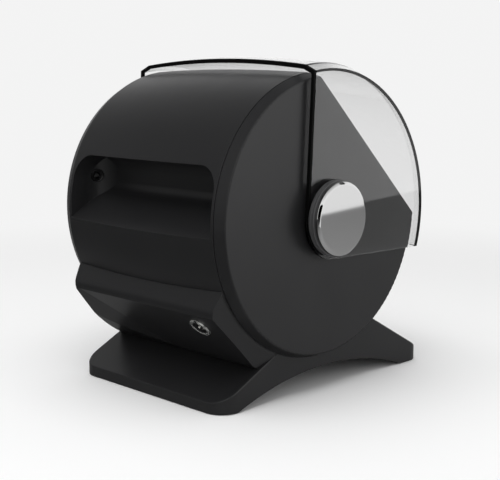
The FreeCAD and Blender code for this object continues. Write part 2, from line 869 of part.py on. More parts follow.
def lid_body(name, inner_side):
    """The lid's shell, turned about the axis and trimmed to a part of its outline."""
    slant = "sqrt(lid_chamfer_drop^2 + lid_chamfer_width^2)"
    inner_shoulder = f"(lid_shoulder - lid_wall * ({slant} - lid_chamfer_width) / lid_chamfer_drop)"
    inner_edge = f"(lid_edge_radius - lid_wall * ({slant} - lid_chamfer_drop) / lid_chamfer_width)"
    half = [
        ("lid_half", "lid_edge_radius"),
        ("lid_half", "lid_bore"),
        ("cheek_inner", "lid_bore"),
        ("cheek_inner", inner_edge),
        (inner_shoulder, "(lid_shoulder_radius - lid_wall)"),
    ]
    points = [("lid_shoulder", "lid_shoulder_radius")] + half
    points += [(f"-{x}", radius) for x, radius in reversed(half)]
    points.append(("-lid_shoulder", "lid_shoulder_radius"))
    rise = "lid_crown"
    arcs = {5: (bulge(inner_shoulder, rise), 1), 11: (bulge("lid_shoulder", rise), -1)}
    body = spun_body(name, points, arcs)
    trim_to(body, *lid_section(inner_side))
    return body


def make_lid():
    """The clear lid, the black strip on its rear rim and the bushes in its cheeks."""
    keep_node(lid_body("lid_window", True), "clear_lid")
    keep_node(lid_body("lid_strip", False), "lid_edge_trim")
    inside = "boss_radius + running_gap"
    for label, side in (("left_lid_bush", -1), ("right_lid_bush", 1)):
        inner = "(cover_face + passing_gap)"
        points = [
            (inner, inside),
            ("lid_half", inside),
            ("lid_half", "lid_bore"),
            ("cheek_inner", "lid_bore"),
            ("cheek_inner", "lid_bore + bush_flange"),
            (inner, "lid_bore + bush_flange"),
        ]
        keep_node(spun_body(label, [(f"{side} * ({x})", radius) for x, radius in points]), label)


def make_collar(label, side):
    """The dark cup that holds the lid on its boss."""
    bore = "(stem_radius + stem_clearance)"
    web = "(boss_end + collar_web)"
    points = [
        ("boss_end", bore),
        ("boss_end", "collar_radius"),
        ("collar_end", "collar_radius"),
        ("collar_end", "collar_radius - collar_wall"),
        (web, "collar_radius - collar_wall"),
        (web, bore),
    ]
    collar = spun_body(label, [(f"{side} * ({x})", radius) for x, radius in points])
    holes = new_sketch(collar, "YZ_Plane")
    for turn in (90, 210, 330):
        draw_circle(holes, *polar("collar_screw_orbit", str(turn)), "screw_radius")
    cut(collar, holes)
    keep_node(collar, label)


def make_cap(label, side, bore, end):
    """A chrome cap with a bevelled edge and a stem that reaches into the boss."""
    inside = "(cap_end - cap_face)"
    points = [
        (end, bore),
        (end, "stem_radius"),
        (inside, "stem_radius"),
        (inside, "cap_radius - cap_skirt"),
        ("cap_back", "cap_radius - cap_skirt"),
        ("cap_back", "cap_radius"),
        ("cap_end - cap_edge_drop", "cap_radius"),
        ("cap_end", "cap_radius - cap_edge_width"),
        ("cap_end", "0"),
    ]
    if bore != "0":
        points += [(inside, "0"), (inside, bore)]
    else:
        points[0] = (end, "0")
    keep_node(spun_body(label, [(f"{side} * ({x})", radius) for x, radius in points]), label)


def make_encoder():
    """The encoder behind the control knob, its nut and the shaft that the knob turns."""
    inner = "(cover_floor - encoder_depth)"
    bottom = f"({inner} + encoder_depth - encoder_shaft_sink)"
    neck_end = "(cover_floor + encoder_neck_length)"
    body = new_body("encoder")
    case = new_sketch(body, "YZ_Plane", "-cover_floor")
    draw_outline(case, box_points("0", "0", "encoder_side", "encoder_side"))
    pad(body, case, "encoder_depth")
    neck = new_sketch(body, "YZ_Plane", "-cover_floor")
    draw_circle(neck, "0", "0", "encoder_neck")
    pad(body, neck, "encoder_neck_length", backwards=True)
    well = new_sketch(body, "YZ_Plane", f"-{neck_end}")
    draw_circle(well, "0", "0", "encoder_shaft + running_gap")
    cut(body, well, "encoder_neck_length + encoder_shaft_sink + passing_gap", backwards=True)
    keep_node(body, "knob_encoder")
    nut = new_body("encoder_nut")
    ring = new_sketch(nut, "YZ_Plane", "-cover_face")
    draw_outline(ring, [polar("encoder_nut", str(60 * corner)) for corner in range(6)])
    draw_circle(ring, "0", "0", "encoder_neck")
    pad(nut, ring, "encoder_nut_thick", backwards=True)
    keep_node(nut, "encoder_nut")
    inside = "(cap_end - cap_face)"
    points = [(bottom, "0"), (inside, "0"), (inside, "encoder_shaft"), (bottom, "encoder_shaft")]
    keep_node(spun_body("encoder_shaft_rod", [(f"-{x}", radius) for x, radius in points]), "encoder_shaft")


def make_rollers():
    """Two rollers, each a rubber sleeve on a steel shaft, between two brackets."""
    shaft_half = "(flange_face - passing_gap)"
    sleeve_half = "(bracket_face - passing_gap)"
    for name, (y, z) in roller_spots().items():
        shaft = bar_points(shaft_half, "roller_shaft")
        keep_node(spun_body(f"{name}_shaft", shaft), f"{name}_roller_shaft", y=y, z=z)
        sleeve = bar_points(sleeve_half, "roller_radius", "roller_shaft")
        keep_node(spun_body(f"{name}_sleeve", sleeve), f"{name}_roller_sleeve", y=y, z=z)
    outline = [
        ("-bracket_half", "-bracket_shoulder"),
        ("-bracket_foot", "-bracket_bottom"),
        ("bracket_foot", "-bracket_bottom"),
        ("bracket_half", "-bracket_shoulder"),
        ("bracket_half", "-bracket_top"),
        ("-bracket_half", "-bracket_top"),
    ]
    for label, side in (("left_roller_bracket", -1), ("right_roller_bracket", 1)):
        bracket = new_body(label)
        plate = new_sketch(bracket, "YZ_Plane", f"{side} * flange_face")
        draw_outline(plate, outline)
        for y, z in roller_spots().values():
            draw_circle(plate, y, z, "roller_shaft + running_gap")
        for y, z in bracket_screw_spots():
            draw_circle(plate, y, z, "screw_radius")
        pad(bracket, plate, "bracket_thick", backwards=side > 0)
        keep_node(bracket, label)


def make_floor():
    """The vented plate that parts the chamber from the heater and the fan."""
    half = "(bracket_face - screw_head_height - passing_gap)"
    width = "2 * sqrt((chamber_radius - seat_gap)^2 - floor_under^2)"
    plate = new_body("floor")
    panel = new_sketch(plate, "XY_Plane", "-floor_drop")
    draw_outline(panel, box_points("0", "0", f"2 * {half}", width))
    draw_circle(panel, "fan_place", "0", "fan_bore - vent_width")
    pad(plate, panel, "floor_thick", backwards=True)
    vent = new_sketch(plate, "XY_Plane", "-floor_drop")
    row = "(heater_length - 2 * heater_end)"
    draw_outline(vent, box_points(f"heater_place - {row} / 2", "0", "vent_width", "vent_length"))
    repeat_along(plate, cut(plate, vent), row, VENT_COUNT)
    keep_node(plate, "floor_plate")


def make_heater():
    """A finned aluminium block with a heating core, hung under the floor plate."""
    fins = new_body("heater")
    block = new_sketch(fins, "XY_Plane", "-floor_under")
    draw_outline(block, box_points("heater_place", "0", "heater_length", "heater_width"))
    pad(fins, block, "heater_height", backwards=True)
    gaps = new_sketch(fins, "XY_Plane", "-floor_under")
    row = "(heater_length - 2 * heater_end - fin_gap)"
    depth = "(heater_width - core_width) / 2 - 2 * heater_end"
    for side in (-1, 1):
        middle = f"{side} * (heater_width + core_width) / 4"
        draw_outline(gaps, box_points(f"heater_place - {row} / 2", middle, "fin_gap", depth))
    repeat_along(fins, cut(fins, gaps), row, FIN_GAP_COUNT)
    slot = new_sketch(fins, "YZ_Plane")
    middle = "0 - floor_under - heater_height / 2"
    draw_outline(slot, box_points("0", middle, "core_width", "core_height"))
    cut(fins, slot)
    keep_node(fins, "heater_fins")
    core = new_body("heater_core")
    bar = new_sketch(core, "YZ_Plane", "heater_place")
    draw_outline(bar, box_points("0", middle, "core_width", "core_height"))
    pad(core, bar, "heater_length + 2 * heater_end", symmetric=True)
    keep_node(core, "heater_core")


def make_fan():
    """The fan's frame under the floor plate and the wheel that turns in it."""
    frame = new_body("fan")
    bottom = "(0 - floor_under - fan_height)"
    block = new_sketch(frame, "XY_Plane", bottom)
    draw_outline(block, box_points("0", "0", "fan_side", "fan_side"))
    draw_circle(block, "0", "0", "fan_bore")
    pad(frame, block, "fan_height")
    span = "2 * fan_bore + fan_strut"
    for width, depth in (("fan_strut", span), (span, "fan_strut")):
        strut = new_sketch(frame, "XY_Plane", bottom)
        draw_outline(strut, box_points("0", "0", width, depth))
        pad(frame, strut, "fan_strut_height")
    boss = new_sketch(frame, "XY_Plane", bottom)
    draw_circle(boss, "0", "0", "fan_hub")
    pad(frame, boss, "fan_boss_height")
    bearing = new_sketch(frame, "XY_Plane", bottom)
    draw_circle(bearing, "0", "0", "fan_pin + running_gap")
    cut(frame, bearing)
    keep_node(frame, "fan_frame", x="fan_place")
    wheel = new_body("wheel")
    under = f"({bottom} + fan_boss_height + passing_gap)"
    hub = new_sketch(wheel, "XY_Plane", under)
    draw_circle(hub, "0", "0", "fan_hub")
    pad(wheel, hub, "blade_height")
    pin = new_sketch(wheel, "XY_Plane", under)
    draw_circle(pin, "0", "0", "fan_pin")
    pad(wheel, pin, "fan_boss_height", backwards=True)
    blade = new_sketch(wheel, "YZ_Plane", "fan_hub - blade_thick")
    top = f"({under} + blade_height)"
    corners = [
        ("0 - blade_lean", under),
        ("blade_thick - blade_lean", under),
        ("blade_lean", top),
        ("blade_lean - blade_thick", top),
    ]
    draw_outline(blade, corners)
    first = pad(wheel, blade, "fan_wheel - fan_hub + blade_thick - passing_gap")
    ring = wheel.newObject("PartDesign::PolarPattern", "blades")
    ring.Originals = [first]
    ring.Axis = (hub, ["N_Axis"])
    ring.Angle = 360
    ring.Occurrences = BLADE_COUNT
    wheel.Tip = ring
    doc.recompute()
    keep_node(wheel, "fan_impeller", x="fan_place")


def housing_section():
    """The rear housing's outline along the axis: ledge, nose, round back and the seat on the stand."""
    ahead = ("cos(ledge_slope)", "-sin(ledge_slope)")
    outward = ("sin(ledge_slope)", "cos(ledge_slope)")
    back = [f"(ledge_offset) * {outward[i]} + nose_along / 2 * ({ahead[i]})" for i in (0, 1)]
    touch = [f"(ledge_offset) * {outward[i]} + nose_along * ({ahead[i]})" for i in (0, 1)]
    grow = "housing_radius / (housing_radius - nose_radius)"
    nose = [f"nose_y * {grow}", f"nose_z * {grow}"]
    far = [f"2 * ({nose[0]})", f"2 * ({nose[1]})"]
    start = polar("drum_radius", "rear_contact - 90")
    seat_out = (f"{start[0]} + {REACH} * cos(rear_slope)", f"{start[1]} - {REACH} * sin(rear_slope)")
    inward = "drum_crown * 4"
    seat_in = (f"{start[0]} - {inward} * cos(rear_slope)", f"{start[1]} + {inward} * sin(rear_slope)")
    points = [tuple(back), tuple(touch), tuple(nose), tuple(far), seat_out, seat_in]
    return points, {1: ("nose_radius", -1)}


def facet_space():
    """What the flat facet and its fading end take off the housing."""
    space = new_body("facet_space")
    sketch = new_sketch(space, "XY_Plane")
    sketch.AttachmentOffset = FreeCAD.Placement(
        FreeCAD.Vector(), FreeCAD.Rotation(FreeCAD.Vector(0, 1, 0), value("facet_fold"))
    )
    sketch.setExpression("AttachmentOffset.Rotation.Angle", bound("facet_fold"))
    rise = "(housing_radius - facet_distance) * 2"
    corners = [
        (f"0 - {REACH}", "facet_distance"),
        ("facet_end", "facet_distance"),
        ("facet_end + facet_fade", f"facet_distance + {rise}"),
        (f"0 - {REACH}", f"facet_distance + {rise}"),
    ]
    draw_outline(sketch, corners)
    pad(space, sketch, REACH, symmetric=True)
    space.Placement = FreeCAD.Placement(
        FreeCAD.Vector(), FreeCAD.Rotation(FreeCAD.Vector(1, 0, 0), value("-facet_angle"))
    )
    space.setExpression(".Placement.Rotation.Angle", bound("-facet_angle"))
    return space


def make_rear_housing():
    """The band low on the drum's back, hollow for the electronics, with posts for its screws."""
    flat = "(housing_half - housing_bevel)"
    outer = [
        ("-housing_half", "drum_radius - shell_wall"),
        ("housing_half", "drum_radius - shell_wall"),
        ("housing_half", "housing_rim"),
        (flat, "housing_radius"),
        (f"-{flat}", "housing_radius"),
        ("-housing_half", "housing_rim"),
    ]
    band = spun_body("housing_band", outer)
    trim_to(band, *housing_section())
    inner_half = "(housing_half - 2 * housing_wall)"
    inner_flat = "(housing_half - housing_bevel - housing_wall)"
    inner = [
        (f"-{inner_half}", "drum_radius - 2 * shell_wall"),
        (inner_half, "drum_radius - 2 * shell_wall"),
        (inner_half, "housing_rim - housing_wall"),
        (inner_flat, "cavity_radius"),
        (f"-{inner_flat}", "cavity_radius"),
        (f"-{inner_half}", "housing_rim - housing_wall"),
    ]
    cavity = spun_body("housing_cavity", inner)
    sides = [("drum_radius / 2", "-cavity_top"), (REACH, "-cavity_top"), (REACH, "-cavity_bottom")]
    sides.append(("drum_radius / 2", "-cavity_bottom"))
    trim_to(cavity, [polar(radius, angle) for radius, angle in sides])
    posts = []
    pilots = []
    rise = "cavity_radius + housing_wall / 2 - drum_radius"
    for along, outward in housing_screw_spots():
        start = vector(along, "0", "0") + outward * value("drum_radius")
        posts.append(rod(start, outward, "housing_screw_post", rise))
        pilots.append(rod(start, outward, "screw_radius", "drum_crown + housing_screw_sink"))
    inlet_start = on_facet("inlet_place", "cavity_radius - housing_wall", "inlet_rise")
    pilots.append(rod(inlet_start, facet_outward(), "inlet_body + slip_gap", "4 * housing_wall"))
    nut_start = on_facet("inlet_place", "drum_radius", "inlet_rise")
    nut_room = "cavity_radius - drum_radius"
    pilots.append(rod(nut_start, facet_outward(), "inlet_nut + passing_gap", nut_room))
    faced = combine("Cut", "housing_faced", band, facet_space())
    hollow = combine("Cut", "housing_hollow", faced, cavity)
    joined = fuse_all("housing_joined", [hollow, shape_object("housing_posts", posts)])
    seated = combine("Cut", "housing_seated", joined, barrel_body("housing_seat", "seat_gap"))
    holes = shape_object("housing_holes", pilots)
    keep_node(combine("Cut", "housing_drilled", seated, holes), "rear_housing")


def inlet_place():
    """Where the inlet's own frame stands: on the facet's rise, with its Y axis facing outwards."""
    return {
        "x": "inlet_place",
        "y": "inlet_rise * sin(facet_angle)",
        "z": "inlet_rise * cos(facet_angle)",
        "angle": "-facet_angle",
    }


def make_inlet():
    """The power inlet: a metal shell with a flange, its core, its pins and the nut behind the panel."""
    panel = "facet_distance"
    front = "(facet_distance + inlet_flange_thick)"
    back = "(facet_distance - inlet_depth)"
    core_top = "(facet_distance + inlet_flange_thick - inlet_socket_depth)"
    shell = [
        ("inlet_socket", back),
        ("inlet_body", back),
        ("inlet_body", panel),
        ("inlet_flange", panel),
        ("inlet_flange", f"{front} - inlet_flange_thick / 2"),
        ("inlet_flange - inlet_flange_thick / 2", front),
        ("inlet_socket", front),
    ]
    keep_node(studded_body("inlet_shell_form", shell), "inlet_shell", **inlet_place())
    core = [("0", back), ("inlet_socket", back), ("inlet_socket", core_top), ("0", core_top)]
    keep_node(studded_body("inlet_core_form", core), "inlet_core", **inlet_place())
    pins = []
    for turn in (90, 210, 330):
        x, z = (value(part) for part in polar("inlet_pin_orbit", str(turn)))
        start = FreeCAD.Vector(x, value(core_top), z)
        pins.append(rod(start, FreeCAD.Vector(0, 1, 0), "inlet_pin", "inlet_pin_length"))
    keep_node(shape_object("inlet_pin_set", pins), "inlet_pins", **inlet_place())
    under = "cavity_radius"
    nut = [
        ("inlet_body", f"{under} - inlet_nut_thick"),
        ("inlet_nut", f"{under} - inlet_nut_thick"),
        ("inlet_nut", under),
        ("inlet_body", under),
    ]
    keep_node(studded_body("inlet_nut_form", nut), "inlet_nut", **inlet_place())


def make_board():
    """The control board on its posts, with the parts soldered to it."""
    board = new_body("board")
    panel = new_sketch(board, "XZ_Plane", "0 - board_distance")
    draw_outline(panel, box_points("board_place", "0", "board_length", "board_width"))
    for along, across in board_corner_spots():
        draw_circle(panel, along, across, "screw_radius")
    pad(board, panel, "board_thick", backwards=True)
    keep_node(board, "control_board", angle="-facet_angle")
    chips = []
    for step in (-1, 0, 1):
        start = f"board_place + {step} * board_length / 4 - chip_length / 2"
        corner = vector(start, "board_distance + board_thick", "0 - chip_width / 2")
        chips.append(Part.makeBox(value("chip_length"), value("chip_height"), value("chip_width"), corner))
    keep_node(shape_object("board_chips", chips), "board_components", angle="-facet_angle")


def make_sensor():
    """The humidity sensor, a small case fixed to the inside of the left cover."""
    sensor = new_body("sensor")
    case = new_sketch(sensor, "YZ_Plane", "-cover_floor")
    draw_outline(case, box_points("0 - sensor_forward", "0 - sensor_below", "sensor_length", "sensor_width"))
    pad(sensor, case, "sensor_thick")
    keep_node(sensor, "humidity_sensor")


def stand_foot_points(side, contact, slope, foot):
    """The top of one foot, from inside the drum down to the rim at its tip."""
    start = polar("drum_radius", f"{contact} - 90")
    inside = (f"({start[0]} / 2)", f"({start[1]} + {start[0]} / 2 * tan({slope}))")
    points = [inside, (foot, "foot_rim - axis_height"), (foot, "0 - stand_bottom")]
    return [(f"{side} * ({y})", z) for y, z in points]


def pocket_points(side, contact, slope, run):
    """The hollow under one foot, which leaves a wall under the drum and under the slope."""
    radius = "(drum_middle + stand_wall)"
    start = polar(radius, "pocket_start - 90")
    turn = polar(radius, f"{contact} - 90")
    end = (f"{turn[0]} + {run} * cos({slope})", f"{turn[1]} - {run} * sin({slope})")
    deep = "0 - 2 * axis_height"
    points = [(start[0], deep), start, turn, end, (end[0], deep)]
    return [(f"{side} * ({y})", z) for y, z in points]


def make_stand():
    """The stand: splayed feet, an arch between them and a saddle that the drum lies in."""
    rear = stand_foot_points(1, "rear_contact", "rear_slope", "foot_rear")
    front = stand_foot_points(-1, "front_contact", "front_slope", "foot_front")
    bottom = "0 - stand_bottom"
    arch = [("arch_rear", bottom), ("0 - arch_front", bottom)]
    points = rear + arch + list(reversed(front))
    body = new_body("stand_form")
    profile = new_sketch(body, "YZ_Plane")
    span = "(arch_rear + arch_front) / 2"
    draw_outline(profile, points, {len(rear): (bulge(span, "arch_rise"), 1)})
    pad(body, profile, "2 * stand_half", symmetric=True)
    half = value("stand_half")
    rim = value("foot_rim - axis_height")
    tips = (value("foot_rear"), -value("foot_front"))

    def tip_corner(edge):
        middle = edge.CenterOfMass
        on_tip = min(abs(middle.y - tip) for tip in tips) < 0.01
        return on_tip and near(abs(middle.x), half)

    def top_edge(edge):
        middle = edge.CenterOfMass
        box = edge.BoundBox
        below = middle.z < rim - 1
        over_arch = edge.Curve.TypeId == "Part::GeomCircle" and box.XLength < 0.01
        upright = max(box.XLength, box.YLength) < 0.01
        across = near(middle.x, 0) and min(abs(middle.y - tip) for tip in tips) > 0.01
        in_drum = middle.z > value("0 - drum_radius * 0.8")
        return not (below or over_arch or upright or across or in_drum)

    round_edges(body, "foot_corner", tip_corner)
    round_edges(body, "foot_edge", top_edge)
    for side, contact, slope, run in (
        (1, "rear_contact", "rear_slope", "rear_pocket_run"),
        (-1, "front_contact", "front_slope", "front_pocket_run"),
    ):
        hollow = new_sketch(body, "YZ_Plane", "0 - stand_half + stand_wall")
        draw_outline(hollow, pocket_points(side, contact, slope, run))
        cut(body, hollow, "2 * (stand_half - stand_wall)", backwards=True)
    sockets = new_sketch(body, "XY_Plane", bottom)
    for along, across in pad_spots():
        draw_outline(sockets, box_points(along, across, "pad_length", "pad_width"))
    cut(body, sockets, "pad_thick - pad_proud", backwards=True)
    holes = []
    upward = FreeCAD.Vector(0, 0, 1)
    for along in stand_screw_spots():
        seat = vector(along, "0", "-(drum_middle + stand_screw_seat)")
        holes.append(rod(seat, upward, "screw_radius", "stand_screw_length"))
        holes.append(rod(seat, upward * -1, "screw_head_radius + slip_gap", "axis_height"))
    saddle = combine("Cut", "stand_saddle", body, barrel_body("stand_seat", "seat_gap"))
    keep_node(combine("Cut", "stand_drilled", saddle, shape_object("stand_holes", holes)), "stand")


def pad_spots():
    """The middles of the foot pads on the floor."""
    rear = "(foot_rear + arch_rear) / 2"
    front = "0 - (foot_front + arch_front) / 2"
    return [(f"{side} * pad_place", y) for y in (rear, front) for side in (-1, 1)]


def make_foot_pads():
    """Rubber pads let into the undersides of the feet."""
    pads = []
    for along, across in pad_spots():
        corner = vector(f"{along} - pad_length / 2", f"{across} - pad_width / 2", "0 - axis_height")
        pads.append(Part.makeBox(value("pad_length"), value("pad_width"), value("pad_thick"), corner))
    keep_node(shape_object("pad_set", pads), "foot_pads")


def make_screws():
    """The screws of each kind, one group for each kind."""
    covers = []
    collars = []
    brackets = []
    for side in (-1, 1):
        inward = f"{side} * flange_face"
        for y, z in cover_screw_spots():
            covers.append(screw(vector(inward, y, z), axis_vector(side), "cover_screw_length"))
        outward = f"{side} * (boss_end + collar_web)"
        for turn in (90, 210, 330):
            spot = vector(outward, *polar("collar_screw_orbit", str(turn)))
            collars.append(screw(spot, axis_vector(-side), "collar_screw_length"))
        for y, z in bracket_screw_spots():
            spot = vector(f"{side} * bracket_face", y, z)
            brackets.append(screw(spot, axis_vector(side), "bracket_screw_length"))
    stand = []
    for along in stand_screw_spots():
        seat = vector(along, "0", "-(drum_middle + stand_screw_seat)")
        stand.append(screw(seat, FreeCAD.Vector(0, 0, 1), "stand_screw_length"))
    housing = []
    for along, outward in housing_screw_spots():
        seat = vector(along, "0", "0") + outward * value("chamber_radius - seat_gap")
        housing.append(screw(seat, outward, "housing_screw_length"))
    board = []
    for along, across in board_corner_spots():
        seat = on_facet(along, "board_distance + board_thick", across)
        board.append(screw(seat, facet_outward() * -1, "board_screw_length"))
    groups = {
        "cover_screws": covers,
        "collar_screws": collars,
        "bracket_screws": brackets,
        "stand_screws": stand,
        "housing_screws": housing,
        "board_screws": board,
    }
    for label, shapes in groups.items():
        keep_node(shape_object(label + "_set", shapes), label)


def check_document():
    """Stops if any object failed or any node has no valid solid."""
    for item in doc.Objects:
        if "Invalid" in item.State or "Error" in item.State:
            raise RuntimeError(f"{item.Label} failed: {item.State}")
    for node in nodes:
        if node.Shape.isNull() or not node.Shape.isValid() or not node.Shape.Solids:
            raise RuntimeError(f"{node.Label} has no valid solid")


def write_parts():
    """Writes one file for each node."""
    os.makedirs("parts", exist_ok=True)
    for node in nodes:
        node.Shape.exportStep(os.path.join("parts", node.Label + ".step"))


def main():
    """Builds every piece, checks the document and writes the parts."""
    fill_sheet()
    make_drum_shell()
    make_side_cover("left_side_cover", -1)
    make_side_cover("right_side_cover", 1)
    make_outlet_bush()
    make_lid()
    make_collar("left_pivot_collar", -1)
    make_collar("right_pivot_collar", 1)
    make_cap("control_knob", -1, "encoder_shaft", "stem_end")
    make_cap("right_pivot_cap", 1, "0", "boss_end")
    make_encoder()
    make_rollers()
    make_floor()
    make_heater()
    make_fan()
    make_rear_housing()
    make_inlet()
    make_board()
    make_sensor()
    make_stand()
    make_foot_pads()
    make_screws()
    doc.recompute()
    check_document()
    write_parts()


if __name__ == "__main__":
    main()
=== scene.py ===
"""A filament dryer box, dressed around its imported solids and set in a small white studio."""

import logging
import math
from dataclasses import dataclass
from enum import Enum

import bmesh
import bpy
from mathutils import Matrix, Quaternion, Vector


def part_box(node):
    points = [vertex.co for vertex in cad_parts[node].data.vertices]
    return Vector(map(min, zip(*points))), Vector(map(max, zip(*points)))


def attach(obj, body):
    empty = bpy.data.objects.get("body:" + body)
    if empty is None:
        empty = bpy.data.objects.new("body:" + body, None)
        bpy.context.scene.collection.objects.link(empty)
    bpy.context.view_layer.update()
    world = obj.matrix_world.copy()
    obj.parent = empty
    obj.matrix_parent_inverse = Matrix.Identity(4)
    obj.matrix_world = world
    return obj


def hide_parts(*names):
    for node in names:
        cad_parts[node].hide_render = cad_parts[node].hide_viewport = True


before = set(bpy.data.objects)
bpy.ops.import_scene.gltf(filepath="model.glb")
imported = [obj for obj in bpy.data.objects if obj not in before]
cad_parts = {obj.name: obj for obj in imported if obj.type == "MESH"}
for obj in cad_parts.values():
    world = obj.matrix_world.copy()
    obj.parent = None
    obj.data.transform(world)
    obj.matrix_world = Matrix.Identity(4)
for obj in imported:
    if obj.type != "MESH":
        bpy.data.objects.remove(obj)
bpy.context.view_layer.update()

MM = 0.001
# Corners closer than this, in metres, are one corner
MERGE_DISTANCE = 1e-6
# Edges sharper than the first are rounded, and shading stays crisp across the second
ROUNDED_ANGLE = math.radians(28)
CRISP_ANGLE = math.radians(32)
# The steps from a dome's shoulder to its tip
DOME_ANGLES = [math.radians(angle) for angle in range(0, 91, 18)]
# Nearly all of a noise texture lies between these
NOISE_LOW, NOISE_HIGH = 0.3, 0.7
# Ray depths are whole numbers, so a half tells none from some
NO_BOUNCE = 0.5
WHITE = (1.0, 1.0, 1.0, 1.0)
LOG = logging.getLogger("dryer_box")


def linear(hex_colour: str) -> tuple[float, float, float, float]:
    """Turn an sRGB hex colour into linear red, green, blue and a full alpha.

    Args:
        hex_colour: Six hex digits after a hash sign.

    Returns:
        The linear colour with an alpha of 1.
    """
    shares = [int(hex_colour[start:start + 2], 16) / 255 for start in (1, 3, 5)]
    values = [s / 12.92 if s <= 0.04045 else ((s + 0.055) / 1.055) ** 2.4 for s in shares]
    return (*values, 1.0)


def add_node(
    tree: bpy.types.NodeTree, kind: str, inputs: dict[str | int, object] | None = None, **settings: object
) -> bpy.types.Node:
    """Add a node to a tree with its settings, its values and its links.

    Args:
        tree: The node tree of a material or of the world.
        kind: The node's type name.
        inputs: What goes into its sockets, by name or number: a value, a socket to link from, or a node
            that is linked by its first output.
        settings: The node's own properties.

    Returns:
        The new node.
    """
    node = tree.nodes.new(kind)
    for name, setting in settings.items():
        setattr(node, name, setting)
    for name, source in (inputs or {}).items():
        source = source.outputs[0] if isinstance(source, bpy.types.Node) else source
        if isinstance(source, bpy.types.NodeSocket):
            tree.links.new(source, node.inputs[name])
        else:
            node.inputs[name].default_value = source
    return node


def empty_material(name: str) -> bpy.types.Material:
    """Make a material with a node tree that has nothing in it yet.

    Args:
        name: The material's name.

    Returns:
        The new material.
    """
    material = bpy.data.materials.new(name)
    material.use_nodes = True
    material.node_tree.nodes.clear()
    return material


def per_metre(size_mm: float) -> float:
    """Give the texture scale at which one feature is this many millimetres wide."""
    return 1 / (size_mm * MM)


class Grain(Enum):
    """How a surface's fine relief was made."""

    SPARKED = "NOISE"
    TURNED = "RINGS"
    DRAWN = "BANDS"


class Finish:
    """A surface finish that makes its material once and hands out the same one after that."""

    name: str

    def material(self) -> bpy.types.Material:
        """Give the finish's material, building it at the first call."""
        return bpy.data.materials.get(self.name) or self.build()

    def build(self) -> bpy.types.Material:
        """Make the material from its nodes."""
        raise NotImplementedError


@dataclass(frozen=True)
class MouldedPlastic(Finish):
    """Moulded plastic with a fine grain from its mould, and with edges that wear a little bright."""

    name: str
    colour: str
    mottle: str
    worn: str
    roughness: float
    roughness_swing: float
    grain_mm: float
    grain_depth_mm: float
    mottle_mm: float = 60.0
    edge_mm: float = 0.8
    ior: float = 1.5
    edge_start: float = 0.995
    edge_end: float = 0.8
    edge_wear: float = 0.6

    def build(self) -> bpy.types.Material:
        """Make the material from its nodes.

        Returns:
            The new material.
        """
        material = empty_material(self.name)
        tree = material.node_tree
        place = add_node(tree, "ShaderNodeTexCoord").outputs["Object"]
        cloud = add_node(
            tree, "ShaderNodeTexNoise", {"Vector": place, "Scale": per_metre(self.mottle_mm), "Detail": 4.0}
        ).outputs["Fac"]
        grain = add_node(
            tree, "ShaderNodeTexNoise", {"Vector": place, "Scale": per_metre(self.grain_mm), "Detail": 2.0}
        ).outputs["Fac"]
        rounded = add_node(tree, "ShaderNodeBevel", {"Radius": self.edge_mm * MM}, samples=4)
        true_normal = add_node(tree, "ShaderNodeNewGeometry").outputs["Normal"]
        flatness = add_node(
            tree, "ShaderNodeVectorMath", {0: rounded, 1: true_normal}, operation="DOT_PRODUCT"
        ).outputs["Value"]
        edge = add_node(
            tree,
            "ShaderNodeMapRange",
            {
                "Value": flatness,
                "From Min": self.edge_start,
                "From Max": self.edge_end,
                "To Max": self.edge_wear,
            },
        )
        mottled = add_node(
            tree,
            "ShaderNodeMix",
            {"Factor": cloud, "A": linear(self.colour), "B": linear(self.mottle)},
            data_type="RGBA",
        ).outputs["Result"]
        worn = add_node(
            tree, "ShaderNodeMix", {"Factor": edge, "A": mottled, "B": linear(self.worn)}, data_type="RGBA"
        ).outputs["Result"]
        sheen = add_node(
            tree,
            "ShaderNodeMapRange",
            {
                "Value": cloud,
                "From Min": NOISE_LOW,
                "From Max": NOISE_HIGH,
                "To Min": self.roughness - self.roughness_swing,
                "To Max": self.roughness + self.roughness_swing,
            },
        )
        relief = add_node(
            tree, "ShaderNodeBump", {"Height": grain, "Distance": self.grain_depth_mm * MM, "Normal": rounded}
        )
        shader = add_node(
            tree,
            "ShaderNodeBsdfPrincipled",
            {"Base Color": worn, "Roughness": sheen, "IOR": self.ior, "Normal": relief},
        )
        add_node(tree, "ShaderNodeOutputMaterial", {"Surface": shader})
        return material


